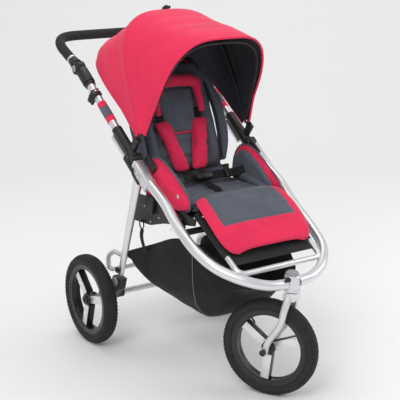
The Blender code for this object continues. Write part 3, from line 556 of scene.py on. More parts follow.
# ---- geometry nodes ------------------------------------------------------
def make_rivet_tree():
    """Small domed discs set on points, facing along each point's normal."""
    tree = bpy.data.node_groups.new("rivets_on_points", "GeometryNodeTree")
    tree.interface.new_socket("Geometry", in_out="INPUT", socket_type="NodeSocketGeometry")
    tree.interface.new_socket("Radius", in_out="INPUT", socket_type="NodeSocketFloat")
    tree.interface.new_socket("Finish", in_out="INPUT", socket_type="NodeSocketMaterial")
    tree.interface.new_socket("Geometry", in_out="OUTPUT", socket_type="NodeSocketGeometry")
    source = tree.nodes.new("NodeGroupInput")
    result = tree.nodes.new("NodeGroupOutput")
    dome = tree.nodes.new("GeometryNodeMeshUVSphere")
    dome.inputs["Segments"].default_value = 12
    dome.inputs["Rings"].default_value = 6
    tree.links.new(source.outputs["Radius"], dome.inputs["Radius"])
    flat = tree.nodes.new("GeometryNodeTransform")
    flat.inputs["Scale"].default_value = (1, 1, 0.45)
    tree.links.new(dome.outputs["Mesh"], flat.inputs["Geometry"])
    place = tree.nodes.new("GeometryNodeInstanceOnPoints")
    tree.links.new(source.outputs["Geometry"], place.inputs["Points"])
    tree.links.new(flat.outputs["Geometry"], place.inputs["Instance"])
    facing = tree.nodes.new("GeometryNodeInputNamedAttribute")
    facing.data_type = "FLOAT_VECTOR"
    facing.inputs["Name"].default_value = "facing"
    turn = tree.nodes.new("FunctionNodeAlignRotationToVector")
    turn.axis = "Z"
    tree.links.new(facing.outputs["Attribute"], turn.inputs["Vector"])
    tree.links.new(turn.outputs["Rotation"], place.inputs["Rotation"])
    real = tree.nodes.new("GeometryNodeRealizeInstances")
    tree.links.new(place.outputs["Instances"], real.inputs["Geometry"])
    paint = tree.nodes.new("GeometryNodeSetMaterial")
    tree.links.new(real.outputs["Geometry"], paint.inputs["Geometry"])
    tree.links.new(source.outputs["Finish"], paint.inputs["Material"])
    tree.links.new(paint.outputs["Geometry"], result.inputs["Geometry"])
    return tree


def make_stitch_tree():
    """Short thread dashes laid along a line of edges."""
    tree = bpy.data.node_groups.new("stitches_on_line", "GeometryNodeTree")
    tree.interface.new_socket("Geometry", in_out="INPUT", socket_type="NodeSocketGeometry")
    tree.interface.new_socket("Pitch", in_out="INPUT", socket_type="NodeSocketFloat")
    tree.interface.new_socket("Thread", in_out="INPUT", socket_type="NodeSocketFloat")
    tree.interface.new_socket("Finish", in_out="INPUT", socket_type="NodeSocketMaterial")
    tree.interface.new_socket("Geometry", in_out="OUTPUT", socket_type="NodeSocketGeometry")
    source = tree.nodes.new("NodeGroupInput")
    result = tree.nodes.new("NodeGroupOutput")
    line = tree.nodes.new("GeometryNodeMeshToCurve")
    tree.links.new(source.outputs["Geometry"], line.inputs["Mesh"])
    points = tree.nodes.new("GeometryNodeCurveToPoints")
    points.mode = "LENGTH"
    tree.links.new(line.outputs["Curve"], points.inputs["Curve"])
    tree.links.new(source.outputs["Pitch"], points.inputs["Length"])
    dash = tree.nodes.new("GeometryNodeMeshUVSphere")
    dash.inputs["Segments"].default_value = 6
    dash.inputs["Rings"].default_value = 4
    tree.links.new(source.outputs["Thread"], dash.inputs["Radius"])
    stretch = tree.nodes.new("GeometryNodeTransform")
    stretch.inputs["Scale"].default_value = (0.8, 0.8, 3.4)
    tree.links.new(dash.outputs["Mesh"], stretch.inputs["Geometry"])
    turn = tree.nodes.new("FunctionNodeAlignRotationToVector")
    turn.axis = "Z"
    tree.links.new(points.outputs["Tangent"], turn.inputs["Vector"])
    place = tree.nodes.new("GeometryNodeInstanceOnPoints")
    tree.links.new(points.outputs["Points"], place.inputs["Points"])
    tree.links.new(stretch.outputs["Geometry"], place.inputs["Instance"])
    tree.links.new(turn.outputs["Rotation"], place.inputs["Rotation"])
    real = tree.nodes.new("GeometryNodeRealizeInstances")
    tree.links.new(place.outputs["Instances"], real.inputs["Geometry"])
    paint = tree.nodes.new("GeometryNodeSetMaterial")
    tree.links.new(real.outputs["Geometry"], paint.inputs["Geometry"])
    tree.links.new(source.outputs["Finish"], paint.inputs["Material"])
    tree.links.new(paint.outputs["Geometry"], result.inputs["Geometry"])
    return tree


def run_tree(name, obj, tree, values):
    """Apply a node tree to a guide mesh and keep the plain result."""
    step = obj.modifiers.new("made", "NODES")
    step.node_group = tree
    for item in tree.interface.items_tree:
        if item.in_out == "INPUT" and item.name in values:
            step[item.identifier] = values[item.name]
    bpy.context.view_layer.update()
    graph = bpy.context.evaluated_depsgraph_get()
    mesh = bpy.data.meshes.new_from_object(obj.evaluated_get(graph))
    mesh.name = name
    old = obj.data
    bpy.data.objects.remove(obj)
    bpy.data.meshes.remove(old)
    made = bpy.data.objects.new(name, mesh)
    MODEL.objects.link(made)
    mesh.shade_smooth()
    return made


def rivets(name, spots, radius, finish, body):
    """Rivets at (place, facing) spots, all on one body."""
    mesh = bpy.data.meshes.new(name)
    mesh.from_pydata([tuple(place) for place, _ in spots], [], [])
    facing = mesh.attributes.new("facing", "FLOAT_VECTOR", "POINT")
    for i, (_, direction) in enumerate(spots):
        facing.data[i].vector = Vector(direction).normalized()
    guide = bpy.data.objects.new(name + "_guide", mesh)
    MODEL.objects.link(guide)
    tree = bpy.data.node_groups.get("rivets_on_points") or make_rivet_tree()
    made = run_tree(name, guide, tree, {"Radius": radius, "Finish": MATS[finish]})
    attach(made, body)
    return made


def stitches(name, lines, finish, pitch=0.0055, thread=0.00055):
    """Thread dashes along several lines of points; not yet riding a body."""
    verts, edges = [], []
    for line in lines:
        start = len(verts)
        verts.extend(tuple(p) for p in line)
        edges.extend((start + i, start + i + 1) for i in range(len(line) - 1))
    mesh = bpy.data.meshes.new(name)
    mesh.from_pydata(verts, edges, [])
    guide = bpy.data.objects.new(name + "_guide", mesh)
    MODEL.objects.link(guide)
    tree = bpy.data.node_groups.get("stitches_on_line") or make_stitch_tree()
    return run_tree(name, guide, tree, {"Pitch": pitch, "Thread": thread,
                                        "Finish": MATS[finish]})


# ---- wheels --------------------------------------------------------------
def wheel_axes(axis):
    """Cross-wheel direction, forwards direction and up for one wheel."""
    axis = Vector(axis).normalized()
    up = Vector((0, 0, 1))
    ahead = up.cross(axis).normalized()
    return axis, ahead, up


def tyre_piece(name, hub, axis):
    """Round tyre with shoulder grooves, a centre rib and side rings."""
    outer = WHEEL_R
    wide = 0.0245
    low = 0.1165
    profile = []
    steps = 40
    for i in range(steps + 1):
        a = math.radians(-128 + 256 * i / steps)
        r = (outer + low) / 2 + (outer - low) / 2 * math.cos(a)
        t = wide * math.sin(a)
        side = abs(math.degrees(a))
        if 62 < side < 68 or 92 < side < 98:
            r -= 0.0008
            t *= 0.975
        profile.append((r, t))
    profile.append((low - 0.004, 0.012))
    profile.append((low - 0.004, -0.012))
    return turned(name, profile, hub, axis, "tyre_rubber", sides=96, closed=True, angle=60)


def make_tread_tree():
    """Low slanted blocks set around a ring of points."""
    tree = bpy.data.node_groups.new("tread_blocks", "GeometryNodeTree")
    tree.interface.new_socket("Geometry", in_out="INPUT", socket_type="NodeSocketGeometry")
    tree.interface.new_socket("Block size", in_out="INPUT", socket_type="NodeSocketVector")
    tree.interface.new_socket("Finish", in_out="INPUT", socket_type="NodeSocketMaterial")
    tree.interface.new_socket("Geometry", in_out="OUTPUT", socket_type="NodeSocketGeometry")
    source = tree.nodes.new("NodeGroupInput")
    result = tree.nodes.new("NodeGroupOutput")
    block = tree.nodes.new("GeometryNodeMeshCube")
    tree.links.new(source.outputs["Block size"], block.inputs["Size"])
    place = tree.nodes.new("GeometryNodeInstanceOnPoints")
    tree.links.new(source.outputs["Geometry"], place.inputs["Points"])
    tree.links.new(block.outputs["Mesh"], place.inputs["Instance"])
    out = tree.nodes.new("GeometryNodeInputNamedAttribute")
    out.data_type = "FLOAT_VECTOR"
    out.inputs["Name"].default_value = "outwards"
    slant = tree.nodes.new("GeometryNodeInputNamedAttribute")
    slant.data_type = "FLOAT_VECTOR"
    slant.inputs["Name"].default_value = "along"
    first = tree.nodes.new("FunctionNodeAlignRotationToVector")
    first.axis = "Z"
    tree.links.new(out.outputs["Attribute"], first.inputs["Vector"])
    second = tree.nodes.new("FunctionNodeAlignRotationToVector")
    second.axis = "X"
    second.pivot_axis = "Z"
    tree.links.new(first.outputs["Rotation"], second.inputs["Rotation"])
    tree.links.new(slant.outputs["Attribute"], second.inputs["Vector"])
    tree.links.new(second.outputs["Rotation"], place.inputs["Rotation"])
    real = tree.nodes.new("GeometryNodeRealizeInstances")
    tree.links.new(place.outputs["Instances"], real.inputs["Geometry"])
    paint = tree.nodes.new("GeometryNodeSetMaterial")
    tree.links.new(real.outputs["Geometry"], paint.inputs["Geometry"])
    tree.links.new(source.outputs["Finish"], paint.inputs["Material"])
    tree.links.new(paint.outputs["Geometry"], result.inputs["Geometry"])
    return tree


def tread_piece(name, hub, axis, count):
    """Tread blocks of one tyre, made by the tread tree."""
    axis, ahead, up = wheel_axes(axis)
    spots, outs, alongs = [], [], []
    for k in range(count):
        for row, (across, dip) in enumerate(((-0.0185, 0.0058), (-0.0095, 0.0010),
                                             (0.0, 0.0003), (0.0095, 0.0010),
                                             (0.0185, 0.0058))):
            a = 2 * math.pi * (k + 0.5 * (row % 2)) / count
            out = ahead * math.cos(a) + up * math.sin(a)
            along = -ahead * math.sin(a) + up * math.cos(a)
            lean = (out + axis * (across / 0.0245) * 0.75).normalized()
            spots.append(Vector(hub) + out * (WHEEL_R - dip - 0.0006) + axis * across)
            outs.append(lean)
            alongs.append((along + axis * (0.55 if across > 0 else -0.55 if across < 0 else 0))
                          .normalized())
    mesh = bpy.data.meshes.new(name)
    mesh.from_pydata([tuple(p) for p in spots], [], [])
    for label, rows in (("outwards", outs), ("along", alongs)):
        store = mesh.attributes.new(label, "FLOAT_VECTOR", "POINT")
        for i, value in enumerate(rows):
            store.data[i].vector = value
    guide = bpy.data.objects.new(name + "_guide", mesh)
    MODEL.objects.link(guide)
    tree = bpy.data.node_groups.get("tread_blocks") or make_tread_tree()
    made = run_tree(name, guide, tree, {"Block size": (0.0082, 0.0058, 0.0022),
                                        "Finish": MATS["tyre_rubber"]})
    made.data.shade_flat()
    return made


def rim_piece(name, hub, axis):
    """Deep moulded rim with a bead lip on each side and a drop centre."""
    profile = [(0.1180, -0.0135), (0.1225, -0.0150), (0.1245, -0.0172), (0.1225, -0.0190),
               (0.1180, -0.0188), (0.1135, -0.0172), (0.1085, -0.0172), (0.1058, -0.0160),
               (0.1050, -0.0135), (0.1058, -0.0105), (0.1072, -0.0050), (0.1076, 0.0),
               (0.1072, 0.0050), (0.1058, 0.0105), (0.1050, 0.0135), (0.1058, 0.0160),
               (0.1085, 0.0172), (0.1135, 0.0172), (0.1180, 0.0188), (0.1225, 0.0190),
               (0.1245, 0.0172), (0.1225, 0.0150), (0.1180, 0.0135), (0.1120, 0.0120),
               (0.1110, 0.0), (0.1120, -0.0120)]
    return turned(name, profile, hub, axis, "rim_plastic", sides=96, closed=True, angle=35)


def hub_piece(name, hub, axis, half):
    """Turned hub with raised flanges, bearing seats and a cap on each side."""
    h = half
    profile = [(0.0, -h), (0.0060, -h), (0.0072, -h + 0.0012), (0.0072, -h + 0.0035),
               (0.0135, -h + 0.0040), (0.0150, -h + 0.0055), (0.0150, -h + 0.0105),
               (0.0205, -h + 0.0115), (0.0215, -h + 0.0130), (0.0215, -h + 0.0165),
               (0.0175, -h + 0.0185), (0.0165, 0.0), (0.0175, h - 0.0185),
               (0.0215, h - 0.0165), (0.0215, h - 0.0130), (0.0205, h - 0.0115),
               (0.0150, h - 0.0105), (0.0150, h - 0.0055), (0.0135, h - 0.0040),
               (0.0072, h - 0.0035), (0.0072, h - 0.0012), (0.0060, h), (0.0, h)]
    profile[0] = (0.0006, -h)
    profile[-1] = (0.0006, h)
    return turned(name, profile, hub, axis, "rim_plastic", sides=40, angle=35)


def spoke_turn(axis, phase, k, spokes):
    """Outward direction of one spoke and the turn of a box laid along it."""
    axis, ahead, up = wheel_axes(axis)
    a = math.radians(phase) + 2 * math.pi * k / spokes
    out = -ahead * math.cos(a) + up * math.sin(a)
    across = out.cross(axis)
    return out, across, Matrix((across, out, axis)).transposed()


def spoke_pieces(prefix, hub, axis, phase, spokes=3):
    """Deep dark webs carrying a flat bright plate on each face."""
    webs, plates, spots = [], [], []
    axis = Vector(axis).normalized()
    for k in range(spokes):
        out, across, turn = spoke_turn(axis, phase, k, spokes)
        middle = Vector(hub) + out * 0.0625
        webs.append((middle, (0.0140, 0.0450, 0.0035), turn, 0.0015))
        for side in (-1, 1):
            webs.append((middle + across * (side * 0.0128), (0.0016, 0.0450, 0.0112), turn,
                         0.0010))
        for side in (-1, 1):
            face = middle + axis * (side * 0.0128)
            plates.append((face, (0.0136, 0.0410, 0.0010), turn, 0.0008))
            for r in (0.0280, 0.0960):
                for w in (-0.0080, 0.0080):
                    spots.append((Vector(hub) + out * r + across * w
                                  + axis * (side * 0.0138), axis * side))
    web = box_piece(prefix + "_webs", webs, "rim_plastic")
    return web, box_piece(prefix + "_plates", plates, "spoke_metal"), spots


def valve_piece(name, hub, axis, phase):
    """Valve stem standing out of the rim towards the hub."""
    axis, ahead, up = wheel_axes(axis)
    out = ahead * math.cos(phase) + up * math.sin(phase)
    foot = Vector(hub) + out * 0.1075
    profile = [(0.0042, 0.0), (0.0042, 0.004), (0.0030, 0.006), (0.0030, 0.017),
               (0.0024, 0.018), (0.0024, 0.022), (0.0010, 0.0228)]
    return turned(name, profile, foot, -out, "black_plastic", sides=16)


def build_wheel_look(prefix, hub, axis, phase, half, body, props):
    """All the pieces of one wheel."""
    tyre = tyre_piece(prefix + "_tyre_skin", hub, axis)
    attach(tyre, body)
    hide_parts(prefix + "_tyre")
    tread = tread_piece(prefix + "_tread", hub, axis, props.tread_blocks)
    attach(tread, body)
    rim = rim_piece(prefix + "_rim_skin", hub, axis)
    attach(rim, body)
    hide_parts(prefix + "_rim")
    core = hub_piece(prefix + "_hub", hub, axis, half)
    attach(core, body)
    webs, plates, spots = spoke_pieces(prefix, hub, axis, phase)
    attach(webs, body)
    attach(plates, body)
    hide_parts(prefix + "_spoke_plates")
    rivets(prefix + "_rivets", spots, 0.0021, "rivet_steel", body)
    valve = valve_piece(prefix + "_valve", hub, axis, math.radians(phase + 30))
    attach(valve, body)


def build_wheels(props):
    """Both rear wheels and the steered front wheel."""
    for side in ("left", "right"):
        joint = JOINTS["rear_wheel_" + side + "_spin"]
        hub = Vector(joint["pos_m"])
        build_wheel_look("rear_wheel_" + side, hub, (1, 0, 0), props.rear_spoke_turn, 0.030,
                         "rear_wheel_" + side, props)
    build_wheel_look("front_wheel", FRONT_HUB, FRONT_AXLE_DIR, props.front_spoke_turn, 0.030,
                     "front_wheel", props)


# ---- tubes and fittings --------------------------------------------------
def mirrored(points, sign):
    """The same points on one side of the stroller."""
    return [Vector((p[0] * sign, p[1], p[2])) for p in points]


def build_tubes():
    """Bright bent tubes, the handle and its foam."""
    for side in ("left", "right"):
        sign = SIDES[side]
        low = [up_at(0.230, -0.012, 0.006), at(0.230, -0.401, 0.578), at(0.230, -0.472, 0.521),
               at(0.227, -0.560, 0.467), at(0.205, -0.642, 0.427), at(0.150, -0.706, 0.397),
               at(0.085, -0.738, 0.378), at(0.0236, -0.743, 0.372)]
        tube = bar("front_tube_skin_" + side, mirrored(smooth_path(low, 10), sign), 0.0160,
                   "satin_tube", 28)
        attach(tube, "frame")
        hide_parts("front_frame_tube_" + side)
        upper = bar("upper_tube_skin_" + side, [up_at(sign * UPPER_X, d) for d in
                                                (0.082, 0.2, 0.35, 0.502)], 0.0140,
                    "satin_tube", 28)
        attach(upper, "upper_frame")
        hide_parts("upper_tube_" + side)
        leg_path = [at(sign * 0.222, -0.236, 0.622).lerp(at(sign * 0.222, -0.112, 0.262), t / 8)
                    for t in range(9)]
        leg = bar("rear_leg_skin_" + side, leg_path, [0.0185 - 0.0068 * (t / 8) ** 0.8
                                                      for t in range(9)],
                  "satin_tube", 28, 0.78, Vector((0, 1, 0.3)))
        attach(leg, "rear_frame")
        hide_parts("rear_leg_" + side)
    handle = [at(0.230, 0.1438, 0.9467), at(0.2310, 0.200, 0.972), at(0.2270, 0.258, 0.998),
              at(0.2040, 0.299, 1.014), at(0.1650, 0.317, 1.021), at(0.1000, 0.3215, 1.022)]
    handle += [at(0, 0.322, 1.022)] + mirrored(handle[::-1], -1)
    path = soften(smooth_path(handle, 8), 4)
    tube = bar("handle_tube_skin", path, 0.0115, "satin_tube", 24)
    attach(tube, "handle")
    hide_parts("handle_tube")
    foam_path = [p for p in path if p.y > at(0, 0.165, 0).y]
    radii = [0.0170] * len(foam_path)
    foam = bar("handle_foam_skin", foam_path, radii, "grip_foam", 28)
    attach(foam, "handle")
    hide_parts("foam_grip")
    for sign in (-1, 1):
        arm = bar("handle_arm_%d" % (sign + 2), [at(sign * 0.230, 0.1390, 0.9440),
                                                 at(sign * 0.2304, 0.150, 0.9495),
                                                 at(sign * 0.2306, 0.164, 0.9560)],
                  [0.0205, 0.0190, 0.0168], "black_plastic", 28)
        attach(arm, "handle")
    ring_sets = []
    for sign in (-1, 1):
        first = foam_path[0] if sign > 0 else foam_path[-1]
        step = (foam_path[1] - foam_path[0]) if sign > 0 else (foam_path[-2] - foam_path[-1])
        bm = bmesh.new()
        lathe(bm, [(0.0118, -0.006), (0.0165, -0.006), (0.0178, -0.004), (0.0178, 0.002),
                   (0.0165, 0.004), (0.0118, 0.004)], first, step, 28)
        ring_sets.append(from_bm("handle_ring_%d" % (sign + 2), bm, "rivet_steel"))
    for ring in ring_sets:
        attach(ring, "handle")


def build_side_hardware():
    """Rivets, brackets and hanging rings on the black seat side plates."""
    for side in ("left", "right"):
        sign = SIDES[side]
        spots = [(at(sign * 0.1874, y, z), (sign, 0, 0)) for y, z in
                 ((-0.215, 0.520), (-0.300, 0.500), (-0.330, 0.540), (-0.420, 0.505),
                  (-0.250, 0.475), (-0.370, 0.478))]
        rivets("plate_rivets_" + side, spots, 0.0034, "rivet_steel", "frame")
        bracket = box_piece("seat_bracket_" + side, [
            (at(sign * 0.1945, -0.262, 0.540), (0.0070, 0.022, 0.030), tilt(0.2), 0.004),
            (at(sign * 0.1925, -0.415, 0.525), (0.0055, 0.026, 0.018), tilt(0.5), 0.004),
            (at(sign * 0.1950, -0.440, 0.505), (0.0060, 0.016, 0.014), tilt(0.5), 0.003)],
            "black_plastic")
        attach(bracket, "frame")
        ring = []
        for k in range(25):
            a = 2 * math.pi * k / 24
            ring.append(at(sign * 0.1900, -0.2000 + 0.0125 * math.sin(a),
                           0.4555 + 0.0150 * math.cos(a)))
        bm = bmesh.new()
        skin(bm, tube_rings(ring, 0.0022, 10)[:-1], closed=True)
        piece = from_bm("strap_ring_" + side, bm, "black_plastic", 80.0)
        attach(piece, "frame")


def build_fittings():
    """Sleeves, bands, pivots, plugs and knobs along the frame."""
    build_side_hardware()
    for side in ("left", "right"):
        sign = SIDES[side]
        x = sign * UPPER_X
        band_spots = ((0.114, 0.236, 0.0172, "black_plastic", "sleeve"),
                      (0.452, 0.516, 0.0205, "black_plastic", "pivot_sleeve"),
                      (0.440, 0.456, 0.0178, "black_plastic", "pivot_collar"),
                      (0.268, 0.290, 0.0152, "pad_cloth", "band_low"),
                      (0.290, 0.334, 0.0154, "seat_cloth", "band_mid"),
                      (0.334, 0.356, 0.0152, "pad_cloth", "band_high"))
        for start, end, radius, finish, label in band_spots:
            bm = bmesh.new()
            lathe(bm, [(0.0141, 0.0), (radius, 0.0004), (radius + 0.0004, 0.0016),
                       (radius + 0.0004, end - start - 0.0016), (radius, end - start - 0.0004),
                       (0.0141, end - start)], up_at(x, start), UPPER_DIR, 28)
            piece = from_bm("upper_%s_%s" % (label, side), bm, finish)
            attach(piece, "upper_frame")
        turn = Matrix((Vector((1, 0, 0)), UPPER_DIR,
                       Vector((1, 0, 0)).cross(UPPER_DIR))).transposed()
        clamp = box_piece("strap_hook_" + side, [
            (up_at(x + sign * 0.004, 0.392, -0.002), (0.0165, 0.011, 0.018), turn, 0.004),
            (up_at(x + sign * 0.020, 0.396, -0.012), (0.0045, 0.007, 0.014), turn, 0.002),
            (up_at(x + sign * 0.010, 0.392, -0.026), (0.0050, 0.008, 0.008), turn, 0.002)],
            "black_plastic")
        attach(clamp, "upper_frame")
        band = box_piece("hook_band_" + side, [
            (up_at(x + sign * 0.004, 0.410, 0.0), (0.0155, 0.004, 0.0155), turn, 0.003)],
            "rivet_steel")
        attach(band, "upper_frame")
        spots = []
        for d in (0.012, 0.058):
            spots.append((up_at(sign * (0.232 + 0.0162), d, 0.0), (sign, 0, 0)))
        rivets("bracket_rivets_" + side, spots, 0.0052, "rivet_steel", "frame")
        tube_rivets = [(up_at(x + sign * 0.0141, d), (sign, 0, 0)) for d in (0.246, 0.372, 0.470)]
        rivets("tube_rivets_" + side, tube_rivets, 0.0036, "rivet_steel", "upper_frame")
        block = box_piece("fold_block_" + side, [
            (up_at(sign * 0.2320, 0.030, 0.0), (0.0172, 0.050, 0.0190), turn, 0.0065),
            (up_at(sign * 0.2320, -0.012, -0.001), (0.0180, 0.010, 0.0198), turn, 0.004),
            (up_at(sign * 0.2320, 0.074, -0.001), (0.0180, 0.007, 0.0198), turn, 0.004)],
            "cast_alloy")
        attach(block, "frame")
        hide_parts("fold_bracket_" + side)
        hinge = box_piece("fold_hinge_lug_" + side, [
            (up_at(sign * 0.2060, 0.048, 0.030), (0.0055, 0.030, 0.0150), turn, 0.004),
            (up_at(sign * 0.2060, 0.048, 0.030), (0.0064, 0.018, 0.0070), turn, 0.0022),
            (up_at(sign * 0.2455, 0.040, -0.0205), (0.0050, 0.024, 0.0080), turn, 0.003)],
            "black_plastic")
        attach(hinge, "frame")
        bolt = turned("fold_bolt_" + side, [
            (0.0006, 0.0062), (0.0060, 0.0062), (0.0082, 0.0044), (0.0088, 0.0), (0.0006, 0.0)],
            up_at(sign * 0.2490, 0.030, 0.0), (sign, 0, 0), "rivet_steel", 24)
        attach(bolt, "frame")
        collar = box_piece("fold_collar_" + side, [
            (up_at(sign * 0.2280, 0.097, -0.002), (0.0215, 0.0135, 0.0225), turn, 0.006),
            (up_at(sign * 0.2280, 0.097, -0.024), (0.0120, 0.0120, 0.0060), turn, 0.003)],
            "black_plastic")
        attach(collar, "upper_frame")
        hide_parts("hinge_collar_" + side)
        latch = box_piece("fold_latch_skin_" + side, [
            (up_at(sign * UPPER_X, 0.182, -0.0262), (0.0135, 0.050, 0.0078), turn, 0.0035),
            (up_at(sign * UPPER_X, 0.182, -0.0330), (0.0090, 0.036, 0.0030), turn, 0.0018)],
            "satin_tube")
        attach(latch, "latch_" + side)
        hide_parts("fold_latch_" + side)
        lug = box_piece("fold_lug_" + side, [
            (up_at(sign * 0.2502, 0.092, -0.012), (0.0030, 0.034, 0.0085), turn, 0.0025),
            (up_at(sign * 0.2515, 0.092, -0.012), (0.0030, 0.022, 0.0045), turn, 0.0018)],
            "black_plastic")
        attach(lug, "frame")
        knob = turned("leg_knob_" + side, [(0.0006, 0.008), (0.008, 0.008), (0.010, 0.006),
                                           (0.010, 0.0), (0.0006, 0.0)],
                      at(sign * 0.2365, -0.121, 0.285), (sign, 0, 0), "black_plastic", 24)
        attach(knob, "rear_frame")
        disc = turned("suspension_disc_" + side, [
            (0.0006, 0.006), (0.012, 0.006), (0.015, 0.004), (0.0155, 0.0), (0.0006, 0.0)],
            at(sign * 0.2385, -0.104, 0.240), (sign, 0, 0), "grey_plastic", 32)
        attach(disc, "rear_frame")
        cap = turned("handle_disc_" + side, [
            (0.0135, 0.0), (0.0205, 0.0), (0.0215, 0.0016), (0.0205, 0.003), (0.0140, 0.003),
            (0.0135, 0.0015)], HANDLE_PIVOT + Vector((sign * 0.2450, 0, 0)) -
            Vector((HANDLE_PIVOT.x, 0, 0)), (sign, 0, 0), "black_plastic", 36, True)
        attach(cap, "upper_frame")
        button = turned("handle_button_face_" + side, [
            (0.0006, 0.0022), (0.009, 0.002), (0.0115, 0.0008), (0.012, 0.0), (0.0006, 0.0)],
            Vector((sign * 0.2508, HANDLE_PIVOT.y, HANDLE_PIVOT.z)), (sign, 0, 0),
            "grey_plastic", 32)
        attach(button, "button_" + side)
    head = at(0, -0.743, 0.0)
    cap_profile = [(0.0006, 0.4102), (0.010, 0.4102), (0.0165, 0.4085), (0.0200, 0.4040),
                   (0.0215, 0.3975), (0.0006, 0.3975)]
    cap = turned("head_cap_skin", cap_profile, head, (0, 0, 1), "grey_plastic", 8, angle=20)
    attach(cap, "swivel_lock")
    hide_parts("swivel_lock_cap")
    pin = turned("head_pin", [(0.0006, 0.012), (0.0055, 0.012), (0.0066, 0.010), (0.0066, 0.002),
                              (0.0085, 0.002), (0.0085, 0.0), (0.0006, 0.0)],
                 at(-0.0225, -0.752, 0.388), (-1, -0.35, 0), "black_plastic", 24)
    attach(pin, "frame")
    ring = turned("head_ring", [(0.0232, 0.3475), (0.0246, 0.3480), (0.0246, 0.3530),
                                (0.0232, 0.3535)], head, (0, 0, 1), "cast_alloy", 40, True)
    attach(ring, "frame")
    nuts = []
    for sign in (-1, 1):
        nuts.append((FRONT_HUB + FRONT_AXLE_DIR * (sign * 0.0500), FRONT_AXLE_DIR * sign))
    rivets("fork_nuts", nuts, 0.0075, "rivet_steel", "steering")


# ---- hood ----------------------------------------------------------------
HOOD_STATIONS = ((31, 0.207, 0.442), (36, 0.207, 0.452), (43, 0.208, 0.436),
                 (50, 0.210, 0.422), (58, 0.212, 0.416), (66, 0.215, 0.420),
                 (78, 0.212, 0.378), (90, 0.207, 0.354), (102, 0.201, 0.350),
                 (112, 0.197, 0.356), (118, 0.194, 0.362))


def hood_values(turn):
    """Half width and height of the hood at one angle about its pivot."""
    rows = HOOD_STATIONS
    if turn <= rows[0][0]:
        return rows[0][1:]
    for low, high in zip(rows, rows[1:]):
        if turn <= high[0]:
            t = (turn - low[0]) / (high[0] - low[0])
            return (low[1] + (high[1] - low[1]) * t, low[2] + (high[2] - low[2]) * t)
    return rows[-1][1:]


def hood_point(turn, along, lift=0.0):
    """A point on the hood; along runs 0 to pi over the arch."""
    half, top = hood_values(turn)
    half += lift
    top += lift
    c, s = math.cos(along), max(0.0, math.sin(along))
    square = 0.57 - 0.17 * min(1.0, max(0.0, (84 - turn) / 40))
    crown = 0.034 * abs(c) * s ** 0.5 * math.exp(-((turn - 66) / 20) ** 2)
    reach = 0.032 + (top - 0.032) * s ** square - crown
    foot = max(0.0, 1 - reach / 0.12)
    width = half + (0.2125 + lift - half) * foot
    x = math.copysign(abs(c) ** square, c) * width
    a = math.radians(turn)
    return Vector((x, HOOD_PIVOT.y + reach * math.cos(a),
                   HOOD_PIVOT.z + reach * math.sin(a) - 0.030 * foot ** 2))


def shell(bm, top, low):
    """Closed thin body between two equal grids; the upper faces are handed back."""
    a = [[bm.verts.new(p) for p in row] for row in top]
    b = [[bm.verts.new(p) for p in row] for row in low]
    rows, cols = len(a), len(a[0])
    upper = {}
    for j in range(rows - 1):
        for i in range(cols - 1):
            upper[j, i] = bm.faces.new((a[j][i], a[j][i + 1], a[j + 1][i + 1], a[j + 1][i]))
            bm.faces.new((b[j][i], b[j + 1][i], b[j + 1][i + 1], b[j][i + 1]))
    rim = [(0, i) for i in range(cols)] + [(j, cols - 1) for j in range(1, rows)]
    rim += [(rows - 1, i) for i in range(cols - 2, -1, -1)]
    rim += [(j, 0) for j in range(rows - 2, 0, -1)]
    for k, here in enumerate(rim):
        there = rim[(k + 1) % len(rim)]
        bm.faces.new((a[here[0]][here[1]], b[here[0]][here[1]],
                      b[there[0]][there[1]], a[there[0]][there[1]]))
    return upper


